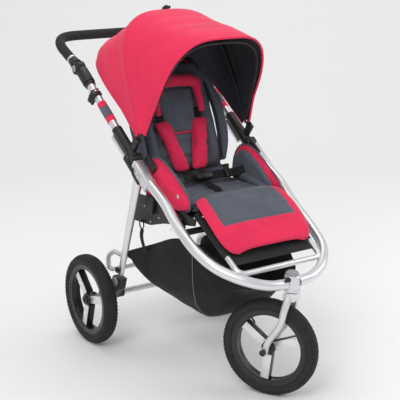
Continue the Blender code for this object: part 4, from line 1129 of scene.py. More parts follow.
def build_hood():
    """Pink outer cloth, dark lining, bound edges and the sewn middle channel."""
    turns = [31 + (118 - 31) * i / 58 for i in range(59)]
    arcs = [math.pi * i / 72 for i in range(73)]

    def crease(turn, along):
        span = math.sin(math.pi * (turn - 66) / 50) if 66 < turn < 116 else 0.0
        behind = math.sin(math.pi * (turn - 31) / 35) if 31 < turn < 66 else 0.0
        top = math.sin(along)
        fan = noise.noise(Vector((turn * 0.05, along * 2.4, 0.3)))
        pull = noise.noise(Vector((turn * 0.16, along * 1.1, 4.0)))
        ridge = 0.0022 * math.exp(-((turn - 66) / 1.3) ** 2)
        return (-0.0020 * span * top - 0.004 * behind * top + 0.0026 * fan * (0.3 + top)
                + 0.0034 * pull * behind * (0.4 + top) + ridge)

    outer = [[hood_point(t, a, 0.0012 + crease(t, a)) for a in arcs] for t in turns]
    middle = [[hood_point(t, a, -0.0004 + crease(t, a)) for a in arcs] for t in turns]
    inner = [[hood_point(t, a, -0.0022 + crease(t, a)) for a in arcs] for t in turns]
    start = hood_point(67, math.pi / 2, -0.08)
    end = hood_point(114, math.pi / 2, -0.08)
    made = []
    for name, top, low, finish in (("hood_outer", outer, middle, "hood_cloth"),
                                   ("hood_lining", middle, inner, "lining_cloth")):
        bm = bmesh.new()
        shift = 0.0 if name == "hood_outer" else -0.0003
        shell(bm, top, [[p.lerp(HOOD_PIVOT, -shift) for p in row] for row in low])
        made.append(from_bm(name, bm, finish, 60.0))
    edges = []
    for turn, radius, label in ((118.0, 0.0036, "front"), (31.0, 0.0028, "rear")):
        path = [hood_point(turn, a, -0.0004 + crease(turn, a)) for a in arcs]
        edges.append(bar("hood_binding_" + label, path, radius, "hood_cloth", 10))
    seams = []
    for turn in (64.2, 67.8, 114.2):
        seams.append([hood_point(turn, a, 0.0019 + crease(turn, a)) for a in arcs])
    thread = stitches("hood_stitches", seams, "pink_thread", 0.0050, 0.00042)
    for piece in made + edges + [thread]:
        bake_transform(piece)
    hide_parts("canopy_fabric")
    top = hood_point(66, math.pi / 2, 0.002)
    out = (top - HOOD_PIVOT).normalized()
    turn = Matrix((Vector((1, 0, 0)), out.cross(Vector((1, 0, 0))), out)).transposed()
    clip = box_piece("hood_clip", [(top + out * 0.004, (0.013, 0.009, 0.004), turn, 0.0025),
                                   (top + out * 0.009, (0.006, 0.004, 0.003), turn, 0.002)],
                     "black_plastic")
    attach(clip, "canopy_hub")
    for side in ("left", "right"):
        sign = SIDES[side]
        disc = turned("hood_pivot_disc_" + side, [
            (0.0006, 0.0058), (0.009, 0.0056), (0.0125, 0.0042), (0.0140, 0.0012),
            (0.0140, 0.0), (0.0006, 0.0)],
            Vector((sign * 0.2155, HOOD_PIVOT.y, HOOD_PIVOT.z)), (sign, 0, 0),
            "black_plastic", 32)
        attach(disc, "canopy_hub")


# ---- seat ----------------------------------------------------------------
def channel(value, lines, width, depth):
    """Drop of a sewn channel near any of the lines."""
    return 1.0 - depth * max(math.exp(-((value - line) / width) ** 2) for line in lines)


def build_seat_pad():
    """Quilted seat with a rolled front edge and its seams."""
    lines = (-0.72, -0.36, 0.0, 0.36, 0.72)

    def place_pad(u, v, h):
        drop = 0.020 * max(0.0, -v / 0.118 - 0.55) ** 1.4
        return at(u, -0.330 + v, 0.554 + h - drop)

    def relief(u, v):
        rise = 1.0 + 0.35 * math.exp(-((abs(u) - 0.86) / 0.12) ** 2)
        return rise * channel(v, lines, 0.045, 0.34) * (1 + 0.05 * noise.noise(
            Vector((u * 3, v * 3, 1.0))))

    bm = bmesh.new()
    pillow(bm, place_pad, 0.152, 0.118, 0.0235, (64, 56), 7.0, relief, 0.75)
    pad = from_bm("seat_pad", bm, "seat_cloth", 70.0)
    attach(pad, "frame")
    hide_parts("seat_cushion")
    seams = []
    for line in lines[:]:
        seams.append([place_pad(u * 0.145, line * 0.118, 0.0235 * relief(u, line) * max(
            0.0, (1 - abs(u) ** 7) * (1 - abs(line) ** 7)) ** 0.5 + 0.0004)
            for u in [-0.88 + 0.04 * i for i in range(45)]])
    thread = stitches("seat_stitches", seams, "seam_thread", 0.0048, 0.00040)
    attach(thread, "frame")
    rolls = []
    for side in ("left", "right"):
        sign = SIDES[side]
        path = smooth_path([at(sign * 0.148, -0.215, 0.585), at(sign * 0.150, -0.270, 0.592),
                            at(sign * 0.150, -0.340, 0.588), at(sign * 0.149, -0.410, 0.576),
                            at(sign * 0.146, -0.440, 0.566)], 8)
        n = len(path)
        radii = [0.0135 * (0.45 + 0.55 * math.sin(math.pi * (i + 1) / (n + 1)) ** 0.5)
                 for i in range(n)]
        roll = bar("seat_roll_" + side, path, radii, "seat_cloth", 20)
        rumple(roll, 0.0012, 40, sign)
        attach(roll, "frame")
        rolls.append(roll)
    build_seat_fold()


def build_seat_fold():
    """Loose grey cloth bridging the seat and the backrest at the hinge."""
    us = [-1 + 2 * i / 60 for i in range(61)]
    line = smooth_path([Vector((0, -0.142, 0.640)), Vector((0, -0.160, 0.622)),
                        Vector((0, -0.186, 0.596)), Vector((0, -0.205, 0.577)),
                        Vector((0, -0.226, 0.572)), Vector((0, -0.250, 0.574))], 5)
    top, low = [], []
    for p in line:
        row = []
        for u in us:
            wave = 0.0035 * noise.noise(Vector((u * 5.0, p.y * 30, p.z * 30)))
            row.append(at(u * 0.150, p.y + wave, p.z + wave))
        top.append(row)
        low.append([q + Vector((0, 0.0035, -0.0035)) for q in row])
    bm = bmesh.new()
    shell(bm, top, low)
    piece = from_bm("seat_fold", bm, "seat_cloth", 60.0)
    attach(piece, "frame")
    skirt_line = [Vector((0, -0.225, 0.548)), Vector((0, -0.330, 0.530)),
                  Vector((0, -0.430, 0.524)), Vector((0, -0.458, 0.536))]
    skirt = smooth_path(skirt_line, 6)
    top = [[at(u * 0.152, p.y, p.z + 0.004 * u * u + 0.002 * noise.noise(
        Vector((u * 4, p.y * 20, 3)))) for u in us] for p in skirt]
    low = [[q - Vector((0, 0, 0.0022)) for q in row] for row in top]
    bm = bmesh.new()
    shell(bm, top, low)
    under = from_bm("seat_underside", bm, "sling_cloth", 60.0)
    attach(under, "frame")


def build_back_pad():
    """Channelled back pad with side bolsters, and the head roll."""
    lines = (-0.78, -0.50, -0.22, 0.06, 0.34, 0.62)

    def place_pad(u, v, h):
        return back_at(u * (1.0 - 0.10 * max(0.0, v / 0.18) ** 2), 0.190 + v, 0.0125 + h)

    def relief(u, v):
        inner = channel(v, lines, 0.035, 0.36 if abs(u) < 0.66 else 0.10)
        valley = 1.0 - 0.42 * math.exp(-((abs(u) - 0.66) / 0.045) ** 2)
        bolster = 1.0 + 0.55 * math.exp(-((abs(u) - 0.84) / 0.13) ** 2)
        return inner * valley * bolster

    bm = bmesh.new()
    pillow(bm, place_pad, 0.147, 0.182, 0.0215, (72, 84), 8.0, relief, 0.85)
    pad = from_bm("back_pad", bm, "seat_cloth", 70.0)
    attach(pad, "backrest")
    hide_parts("back_cushion")
    seams = []
    for line in lines:
        crown = max(0.0, 1 - abs(line) ** 8) ** 0.5
        seams.append([place_pad(u * 0.145, line * 0.182, 0.0215 * relief(u, line) * crown
                                * max(0.0, 1 - abs(u) ** 8) ** 0.5 + 0.0004)
                      for u in [-0.58 + 0.04 * i for i in range(30)]])
    thread = stitches("back_stitches", seams, "seam_thread", 0.0048, 0.00040)
    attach(thread, "backrest")
    roll_corners = [back_at(-0.088, 0.190, 0.052), back_at(-0.085, 0.300, 0.058),
                    back_at(0.0, 0.302, 0.062), back_at(0.085, 0.300, 0.058),
                    back_at(0.088, 0.190, 0.052)]
    path = soften(rounded_path(roll_corners, 0.030, 12), 3)
    n = len(path)
    radii = []
    for i in range(n):
        end = min(i, n - 1 - i) / 6.0
        pinch = 0.86 if abs(abs(path[i].x) - 0.070) < 0.004 else 1.0
        radii.append(0.0215 * (0.55 + 0.45 * min(1.0, end)) * pinch)
    roll = bar("head_roll", path, radii, "pad_cloth", 28)
    puff(roll, 0.004)
    rumple(roll, 0.0024, 34, 3.0)
    step = roll.modifiers.new("smooth", "SUBSURF")
    step.levels = 1
    step.render_levels = 1
    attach(roll, "backrest")
    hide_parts("headrest_roll")

    def place_head(u, v, h):
        return back_at(u * (0.80 + 0.20 * (v + 0.072) / 0.144), 0.205 + v, 0.036 + h)

    bm = bmesh.new()
    pillow(bm, place_head, 0.074, 0.075, 0.013, (40, 36), 4.0,
           lambda u, v: channel(u, (-0.4, 0.4), 0.07, 0.3), 0.3)
    head = from_bm("head_cushion", bm, "seat_cloth", 70.0)
    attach(head, "backrest")
    edge = bar("head_cushion_edge", smooth_path(
        [place_head(-0.070, -0.060, 0.002), place_head(-0.050, -0.075, 0.003),
         place_head(0.050, -0.075, 0.003), place_head(0.070, -0.060, 0.002)], 8),
        0.0030, "pad_cloth", 10)
    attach(edge, "backrest")
    rim = [back_at(-0.150, 0.020, 0.006), back_at(-0.153, 0.200, 0.004),
           back_at(-0.146, 0.330, 0.002), back_at(-0.110, 0.378, 0.0),
           back_at(0.0, 0.384, 0.0), back_at(0.110, 0.378, 0.0),
           back_at(0.146, 0.330, 0.002), back_at(0.153, 0.200, 0.004),
           back_at(0.150, 0.020, 0.006)]
    piping = bar("back_piping", smooth_path(rim, 8), 0.0032, "pad_cloth", 10)
    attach(piping, "backrest")
    shell_path = [back_at(-0.156, 0.030, -0.006), back_at(-0.158, 0.210, -0.008),
                  back_at(-0.150, 0.345, -0.010), back_at(-0.112, 0.392, -0.012),
                  back_at(0.0, 0.397, -0.012), back_at(0.112, 0.392, -0.012),
                  back_at(0.150, 0.345, -0.010), back_at(0.158, 0.210, -0.008),
                  back_at(0.156, 0.030, -0.006)]
    cover = bar("back_shell_edge", smooth_path(shell_path, 8), 0.0085, "sling_cloth", 14)
    rumple(cover, 0.0016, 30, 2.0)
    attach(cover, "backrest")
    build_side_bolsters()
    build_back_cover()


def build_side_bolsters():
    """Soft grey rolls along both sides of the backrest, with a dark gusset."""
    for side in ("left", "right"):
        sign = SIDES[side]
        line = smooth_path([back_at(sign * 0.150, 0.020, 0.020),
                            back_at(sign * 0.164, 0.090, 0.030),
                            back_at(sign * 0.170, 0.180, 0.032),
                            back_at(sign * 0.160, 0.275, 0.024),
                            back_at(sign * 0.136, 0.345, 0.012)], 8)
        n = len(line) - 1
        radii = [0.0185 * (0.50 + 0.50 * math.sin(math.pi * min(1.0, max(0.0, i / n)))
                           ** 0.6) for i in range(n + 1)]
        roll = bar("back_bolster_" + side, line, radii, "seat_cloth", 22)
        puff(roll, 0.004)
        rumple(roll, 0.0026, 26, sign * 5.0)
        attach(roll, "backrest")
        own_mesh(roll)
        gusset = [back_at(sign * 0.140, 0.030, 0.030), back_at(sign * 0.147, 0.120, 0.036),
                  back_at(sign * 0.148, 0.200, 0.036), back_at(sign * 0.138, 0.290, 0.030)]
        piece = bar("back_gusset_" + side, smooth_path(gusset, 8), 0.0060, "lining_cloth", 12)
        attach(piece, "backrest")


def build_back_cover():
    """Dark cloth over the rear of the backrest, with a pocket and its binding."""
    us = [-1 + 2 * i / 40 for i in range(41)]
    vs = [-1 + 2 * i / 48 for i in range(49)]

    def rear(u, v, h):
        wide = 0.156 - 0.030 * max(0.0, (v - 0.70) / 0.30) ** 2
        bulge = 0.014 * (1 - u * u) * (1 - v ** 4)
        fold = 0.0018 * noise.noise(Vector((u * 2.2, v * 4.5, 7.0)))
        return back_at(u * wide, 0.205 + v * 0.186, -0.0185 - bulge - fold - h)

    top = [[rear(u, v, 0.0010) for u in us] for v in vs]
    low = [[rear(u, v, -0.0010) for u in us] for v in vs]
    bm = bmesh.new()
    shell(bm, top, low)
    cover = from_bm("back_cover", bm, "sling_cloth", 60.0)
    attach(cover, "backrest")
    pocket_vs = [-0.80 + 0.95 * i / 24 for i in range(25)]
    pocket_us = [0.74 * u for u in us]
    top = [[rear(u, v, 0.0035 + 0.008 * (1 - (u / 0.74) ** 2) * (v + 0.80) / 0.95)
            for u in pocket_us] for v in pocket_vs]
    low = [[p.lerp(q, 0.0) for p, q in zip(a, b)] for a, b in zip(
        [[rear(u, v, 0.0018 + 0.008 * (1 - (u / 0.74) ** 2) * (v + 0.80) / 0.95)
          for u in pocket_us] for v in pocket_vs], top)]
    bm = bmesh.new()
    shell(bm, top, low)
    pocket = from_bm("back_pocket", bm, "basket_cloth", 60.0)
    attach(pocket, "backrest")
    edge = bar("pocket_binding", top[-1], 0.0026, "webbing", 10)
    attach(edge, "backrest")
    seams = [[rear(u, v, 0.0014) for v in vs[2:-2]] for u in (-0.92, 0.92)]
    thread = stitches("back_cover_stitches", seams, "seam_thread", 0.0055, 0.00045)
    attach(thread, "backrest")


def build_harness():
    """Shoulder pads, straps, waist straps and the buckle."""
    for side in ("left", "right"):
        sign = SIDES[side]

        def place_pad(u, v, h, sign=sign):
            along = 0.086 + v
            centre = 0.035 + (0.075 - 0.035) * (along - 0.004) / 0.164
            return back_at(sign * centre + u, along, 0.0425 + h)

        bm = bmesh.new()
        pillow(bm, place_pad, 0.0305, 0.088, 0.0165, (28, 64), 4.5,
               lambda u, v: channel(v, (-0.45, 0.0, 0.45), 0.05, 0.12), 0.6)
        pad = from_bm("shoulder_pad_skin_" + side, bm, "pad_cloth", 70.0)
        puff(pad, 0.005)
        rumple(pad, 0.0026, 38, sign * 2.0)
        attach(pad, "backrest")
        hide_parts("shoulder_pad_" + side)
        edge_line = []
        for k in range(81):
            a = 2 * math.pi * k / 80
            edge_line.append(place_pad(0.0262 * math.copysign(abs(math.cos(a)) ** 0.5, math.cos(a)),
                                       0.082 * math.copysign(abs(math.sin(a)) ** 0.5,
                                                             math.sin(a)), 0.0120))
        thread = stitches("shoulder_stitches_" + side, [edge_line], "pink_thread", 0.0046,
                          0.0004)
        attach(thread, "backrest")
        up_strap = [back_at(sign * 0.0755, a, l) for a, l in ((0.165, 0.043), (0.185, 0.042),
                                                              (0.205, 0.036), (0.215, 0.030))]
        strap = ribbon("shoulder_strap_" + side, smooth_path(up_strap, 6), (1, 0, 0), 0.025,
                       0.0018, "webbing")
        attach(strap, "backrest")
        low_strap = [back_at(sign * 0.0355, 0.010, 0.043), back_at(sign * 0.033, 0.000, 0.046),
                     at(sign * 0.028, -0.235, 0.614), at(sign * 0.022, -0.262, 0.608)]
        strap = ribbon("chest_strap_" + side, smooth_path(low_strap, 8), (1, 0, 0), 0.022,
                       0.0018, "webbing")
        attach(strap, "frame")
        waist = smooth_path([at(sign * 0.0240, -0.276, 0.603), at(sign * 0.060, -0.280, 0.606),
                             at(sign * 0.100, -0.287, 0.607), at(sign * 0.135, -0.298, 0.612),
                             at(sign * 0.157, -0.306, 0.618)], 8)
        adjuster = box_piece("waist_adjuster_" + side, [
            (waist[14] + Vector((0, -0.001, 0.003)), (0.0065, 0.0165, 0.0050), tilt(0.9), 0.002),
            (waist[16] + Vector((0, -0.001, 0.003)), (0.0030, 0.0170, 0.0060), tilt(0.9),
             0.0015)], "black_plastic")
        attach(adjuster, "frame")
        strap = ribbon("waist_strap_skin_" + side, waist, (0, 0.45, 1), 0.028, 0.0020,
                       "webbing")
        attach(strap, "frame")
        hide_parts("waist_strap_" + side)
    turn = tilt(math.radians(-35))
    centre = at(0, -0.275, 0.602)
    n = turn @ Vector((0, 0, 1))
    buckle = box_piece("buckle_body", [
        (centre, (0.031, 0.0205, 0.0095), turn, 0.005),
        (centre + n * 0.010, (0.0160, 0.0130, 0.0024), turn, 0.0020),
        (centre + turn @ Vector((0.0, -0.019, 0.0)), (0.014, 0.006, 0.005), turn, 0.002),
        (centre + turn @ Vector((0.029, 0.0, 0.0)), (0.006, 0.012, 0.005), turn, 0.002),
        (centre + turn @ Vector((-0.029, 0.0, 0.0)), (0.006, 0.012, 0.005), turn, 0.002)],
        "black_plastic")
    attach(buckle, "frame")
    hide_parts("harness_buckle")
    button = turned("buckle_button", [(0.0006, 0.0030), (0.0055, 0.0028), (0.0072, 0.0012),
                                      (0.0074, 0.0), (0.0006, 0.0)],
                    centre + n * 0.0118, n, "grey_plastic", 28)
    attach(button, "frame")
    crotch = smooth_path([at(0, -0.293, 0.592), at(0, -0.318, 0.586), at(0, -0.350, 0.583),
                          at(0, -0.372, 0.574)], 8)
    strap = ribbon("crotch_strap", crotch, (1, 0, 0), 0.030, 0.0022, "webbing")
    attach(strap, "frame")


# ---- wings, apron and sling ----------------------------------------------
WING = ((-0.215, 0.560), (-0.208, 0.622), (-0.236, 0.676), (-0.285, 0.692), (-0.340, 0.676),
        (-0.400, 0.640), (-0.447, 0.606), (-0.464, 0.576), (-0.448, 0.552), (-0.380, 0.542),
        (-0.290, 0.546))


def closed_smooth(points, per=6):
    """A soft closed curve through the points."""
    pts = [Vector(p) for p in points]
    n = len(pts)
    path = []
    for i in range(n):
        a, b, c, d = pts[i - 1], pts[i], pts[(i + 1) % n], pts[(i + 2) % n]
        for k in range(per):
            t = k / per
            path.append(0.5 * ((2 * b) + (c - a) * t + (2 * a - 5 * b + 4 * c - d) * t * t
                               + (3 * b - a - 3 * c + d) * t ** 3))
    return path


def outline_pad(bm, outline, x_in, x_out, middle, puff_in, puff_out):
    """Pad cut to a side outline, swelling on both faces."""
    scales = (0.0, 0.25, 0.45, 0.62, 0.76, 0.87, 0.94, 0.98, 1.0)
    centre = Vector(middle)
    rings = []
    core = (x_in + x_out) / 2
    for sign, puff in ((-1, puff_in), (1, puff_out)):
        rows = []
        for s in scales:
            swell = (1 - s ** 5) ** 0.5
            rows.append([Vector((core + sign * puff * swell, *(centre + (p - centre)
                                                               * max(s, 0.02))))
                         for p in outline])
        rings.append(rows)
    rows = rings[0] + rings[1][-2::-1]
    placed = [[at(p.x, p.y, p.z) for p in row] for row in rows]
    skin(bm, placed)


def build_wings():
    """Padded side wings: pink outside and dark inside, bound, with a snap."""
    outline = closed_smooth(WING, 8)
    for side in ("left", "right"):
        sign = SIDES[side]
        out = [Vector((p.x, p.y)) for p in outline]
        bm = bmesh.new()
        inside = 0.164
        outside = 0.190
        outline_pad(bm, out, sign * inside, sign * outside, (-0.330, 0.630),
                    sign * 0.011, sign * 0.0165)
        wing = from_bm("wing_" + side, bm, "pad_cloth", 70.0)
        puff(wing, 0.009)
        rumple(wing, 0.0034, 17, sign)
        rumple(wing, 0.0016, 46, sign)
        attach(wing, "frame")
        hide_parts("side_wing_" + side)
        centre = Vector((-0.330, 0.630))
        inner = [centre + (p - centre) * 0.90 for p in out]
        bm = bmesh.new()
        outline_pad(bm, inner, sign * 0.158, sign * 0.166, (-0.330, 0.630),
                    sign * 0.005, sign * 0.004)
        lining = from_bm("wing_lining_" + side, bm, "seat_cloth", 70.0)
        puff(lining, 0.006)
        rumple(lining, 0.0020, 24, sign)
        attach(lining, "frame")
        binding = [at(sign * 0.177, p.x, p.y) for p in out]
        rings = tube_rings(binding + [binding[0]], 0.0027, 8)[:-1]
        bm = bmesh.new()
        skin(bm, rings, closed=True)
        cord = from_bm("wing_piping_" + side, bm, "seat_cloth", 80.0)
        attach(cord, "frame")
        line = [centre + (p - centre) * 0.86 for p in out]
        thread = stitches("wing_stitches_" + side,
                          [[at(sign * 0.1925, p.x, p.y) for p in line + [line[0]]]],
                          "pink_thread", 0.005, 0.00042)
        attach(thread, "frame")
        snap = turned("wing_snap_" + side, [(0.0006, 0.0042), (0.0045, 0.0042), (0.0062, 0.0028),
                                            (0.0085, 0.0024), (0.0092, 0.0008), (0.0092, 0.0),
                                            (0.0006, 0.0)],
                      at(sign * 0.1945, -0.420, 0.596), (sign, 0, 0), "rivet_steel", 28)
        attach(snap, "frame")


APRON = ((-0.452, 0.592, 0.150, 0.010), (-0.480, 0.590, 0.166, 0.011),
         (-0.520, 0.572, 0.174, 0.011), (-0.560, 0.546, 0.176, 0.011),
         (-0.596, 0.518, 0.175, 0.010), (-0.622, 0.495, 0.168, 0.010),
         (-0.640, 0.477, 0.152, 0.009), (-0.647, 0.469, 0.126, 0.006))


def apron_rows(per=8):
    """Apron sections, softened between the stations."""
    path = smooth_path([Vector((y, z, h)) for y, z, h, t in APRON], per)
    thick = smooth_path([Vector((t, 0, 0)) for y, z, h, t in APRON], per)
    return [(p.x, p.y, p.z, t.x) for p, t in zip(path, thick)]


def apron_point(rows, j, u, lift):
    """A point across one apron row; lift is square to the apron."""
    y, z, half, _ = rows[j]
    before = rows[max(j - 1, 0)]
    after = rows[min(j + 1, len(rows) - 1)]
    along = Vector((0, after[0] - before[0], after[1] - before[1])).normalized()
    face = Vector((-1, 0, 0)).cross(along) * -1
    if face.z < 0:
        face = -face
    drop = 0.012 * abs(u) ** 5
    return at(u * half, y, z - drop) + face * lift


def build_apron():
    """Soft leg apron: grey middle with channels inside a pink border."""
    rows = apron_rows(7)
    n = len(rows)
    us = [-1 + 2 * i / 56 for i in range(57)]

    def height(j, u):
        t = j / (n - 1)
        crown = max(0.0, (1 - abs(u) ** 9) * (1 - abs(2 * t - 1) ** 9)) ** 0.5
        seam = 1.0
        middle = t < 0.50 and abs(u) < 0.80
        if middle:
            seam = channel(t, (0.10, 0.20, 0.30, 0.40), 0.022, 0.32)
        border = min(abs(abs(u) - 0.80) / 0.03 if t < 0.52 else 9.0,
                     abs(t - 0.50) / 0.016 if abs(u) < 0.82 else 9.0)
        seam *= 1.0 - 0.45 * math.exp(-border ** 2)
        crease = 0.10 * noise.noise(Vector((u * 3.0, t * 6.0, 2.0)))
        return rows[j][3] * 0.95 * crown * (seam + crease)

    top = [[apron_point(rows, j, u, height(j, u)) for u in us] for j in range(n)]
    low = [[apron_point(rows, j, u, -0.35 * rows[j][3] * max(0.0, (1 - abs(u) ** 9)) ** 0.5
                        * max(0.0, 1 - abs(2 * j / (n - 1) - 1) ** 9) ** 0.5)
            for u in us] for j in range(n)]
    bm = bmesh.new()
    for (j, i), face in shell(bm, top, low).items():
        across = abs((us[i] + us[i + 1]) / 2)
        face.material_index = 1 if j / (n - 1) < 0.50 and across < 0.80 else 0
    bmesh.ops.remove_doubles(bm, verts=bm.verts[:], dist=0.00002)
    bmesh.ops.recalc_face_normals(bm, faces=bm.faces[:])
    mesh = bpy.data.meshes.new("apron")
    bm.to_mesh(mesh)
    bm.free()
    mesh.materials.append(MATS["pad_cloth"])
    mesh.materials.append(MATS["seat_cloth"])
    apron = keep("apron", mesh, "pad_cloth", angle=70)
    step = apron.modifiers.new("smooth", "SUBSURF")
    step.levels = 1
    step.render_levels = 1
    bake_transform(apron)
    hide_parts("leg_apron")
    lines = []
    for u in (-0.94, 0.94):
        lines.append([apron_point(rows, j, u, height(j, u) + 0.0006) for j in range(3, n - 4)])
    j_low = n - 5
    lines.append([apron_point(rows, j_low, u, height(j_low, u) + 0.0006)
                  for u in us if abs(u) < 0.93])
    for u in (-0.76, 0.76):
        lines.append([apron_point(rows, j, u, height(j, u) + 0.0006)
                      for j in range(3, int(0.48 * n))])
    thread = stitches("apron_stitches", lines, "seam_thread", 0.0048, 0.00042)
    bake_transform(thread)


def build_sling():
    """Dark calf sling below the apron, its corner sleeves and the bright tube."""
    turn = tilt(math.radians(30.6))
    centre = at(0, -0.566, 0.4885)

    def sling(u, v, h):
        sag = 0.010 * (1 - u * u) * max(0.0, 1 - v * v)
        return centre + turn @ Vector((u * 0.1495, v * 0.096, h - sag))

    us = [-1 + 2 * i / 36 for i in range(37)]
    vs = [-1.16 + 2.16 * i / 30 for i in range(31)]
    top = [[sling(u, v, 0.0016) for u in us] for v in vs]
    low = [[sling(u, v, -0.0006) for u in us] for v in vs]
    bm = bmesh.new()
    shell(bm, top, low)
    piece = from_bm("calf_sling", bm, "sling_cloth", 60.0)
    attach(piece, "footrest")
    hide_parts("calf_panel")
    corners = [at(0.158, -0.470, 0.5445), at(0.158, -0.640, 0.444), at(0.158, -0.690, 0.412)]
    corners += [Vector((-p.x, p.y, p.z)) for p in corners[::-1]]
    path = rounded_path(corners, 0.040, 10)
    tube = bar("footrest_tube_skin", path, 0.0088, "satin_tube", 22)
    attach(tube, "footrest")
    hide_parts("footrest_tube")
    for side in ("left", "right"):
        sign = SIDES[side]
        sleeve = bar("sling_sleeve_" + side, [at(sign * 0.158, -0.4705, 0.5442),
                                              at(sign * 0.158, -0.560, 0.4912),
                                              at(sign * 0.158, -0.630, 0.4500)], 0.0108,
                     "sling_cloth", 18)
        rumple(sleeve, 0.0008, 60, sign)
        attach(sleeve, "footrest")


# ---- basket --------------------------------------------------------------
BASKET = ((-0.062, 0.318, 0.282, 0.160), (-0.110, 0.338, 0.246, 0.164),
          (-0.180, 0.366, 0.216, 0.166), (-0.260, 0.399, 0.200, 0.166),
          (-0.350, 0.436, 0.191, 0.166), (-0.430, 0.450, 0.188, 0.162),
          (-0.470, 0.446, 0.194, 0.156), (-0.530, 0.420, 0.232, 0.140),
          (-0.590, 0.395, 0.305, 0.120), (-0.640, 0.375, 0.334, 0.095))


def basket_rows(per=6):
    """Basket sections, softened between the stations."""
    tops = smooth_path([Vector((y, t, h)) for y, t, b, h in BASKET], per)
    lows = smooth_path([Vector((b, 0, 0)) for y, t, b, h in BASKET], per)
    return [(p.x, p.y, b.x, p.z) for p, b in zip(tops, lows)]


def basket_point(row, along, lift):
    """A point on one basket section; along runs 0 to pi from rim to rim."""
    y, top, low, half = row
    c, s = math.cos(along), max(0.0, math.sin(along))
    x = math.copysign(abs(c) ** 0.45, c) * (half + lift)
    z = top - (top - low + lift) * s ** 0.45
    return at(x, y, z)


def build_basket():
    """Sagging storage basket with bound rim, seams and a pale mesh end."""
    rows = basket_rows(6)
    n = len(rows)
    arcs = [math.pi * i / 64 for i in range(65)]

    def sag(j, a):
        t = j / (n - 1)
        s = math.sin(a)
        fold = noise.noise(Vector((t * 7.0, a * 2.0, 1.5))) * 0.0045
        pull = noise.noise(Vector((t * 16.0, math.cos(a) * 3.0, 6.0))) * 0.0020
        return (fold + pull) * (0.3 + 0.7 * s) - 0.004 * math.sin(math.pi * t) * (
            1 - abs(math.cos(2 * a)))

    outer = [[basket_point(rows[j], a, 0.0006 + sag(j, a)) for a in arcs] for j in range(n)]
    inner = [[basket_point(rows[j], a, -0.0020 + sag(j, a)) for a in arcs] for j in range(n)]
    bm = bmesh.new()
    shell(bm, outer, inner)
    basket = from_bm("basket", bm, "basket_cloth", 60.0)
    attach(basket, "frame")
    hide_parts("storage_basket")
    for side, k in (("left", 0), ("right", -1)):
        edge = [row[k] + Vector((0, 0, 0.001)) for row in outer]
        rim = bar("basket_rim_" + side, edge, 0.0034, "webbing", 10)
        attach(rim, "frame")
    for label, j in (("rear", 0), ("front", n - 1)):
        rim = bar("basket_binding_" + label, outer[j], 0.0030, "webbing", 10)
        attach(rim, "frame")
    for label, j in (("front", 33),):
        seam = [basket_point(rows[j], a, 0.0014 + sag(j, a)) for a in arcs]
        piece = bar("basket_cross_seam_" + label, seam, 0.0014, "seam_thread", 8)
        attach(piece, "frame")
    for label, flip in (("left", False), ("right", True)):
        curve = []
        for k in range(41):
            t = k / 40
            row = rows[min(n - 1, int(round(2 + 29 * t)))]
            a = 0.02 + 0.62 * math.sin(math.pi * min(1.0, t * 1.02)) ** 0.75
            spot = basket_point(row, math.pi - a if flip else a, 0.0016)
            curve.append(spot)
        piece = bar("basket_side_seam_" + label, soften(curve, 3), 0.0012, "lining_cloth", 8)
        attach(piece, "frame")
    mesh_rows = [j for j in range(1, 8)]
    picks = [a for a in arcs if 0.9 < a < math.pi - 0.9]
    top = [[basket_point(rows[j], a, 0.0030 + sag(j, a)) for a in picks] for j in mesh_rows]
    low = [[basket_point(rows[j], a, 0.0016 + sag(j, a)) for a in picks] for j in mesh_rows]
    bm = bmesh.new()
    shell(bm, top, low)
    strip = from_bm("basket_mesh_strip", bm, "pale_mesh", 60.0)
    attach(strip, "frame")
    for side in ("left", "right"):
        sign = SIDES[side]
        strap = smooth_path([at(sign * 0.1900, -0.203, 0.440), at(sign * 0.1915, -0.200, 0.415),
                             at(sign * 0.1885, -0.206, 0.385), at(sign * 0.1800, -0.210, 0.352)],
                            8)
        piece = ribbon("basket_strap_" + side, strap, (0, 1, 0), 0.020, 0.0018, "webbing")
        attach(piece, "frame")


# ---- stage ---------------------------------------------------------------
CAMERA_LENS = 93.98
CAMERA_PLACE = (-1.9130, -2.7638, 1.4172)
CAMERA_TARGET = (-0.256, -0.3861, 0.642)
LIGHT_TARGET = (0, -0.05, 0.5)


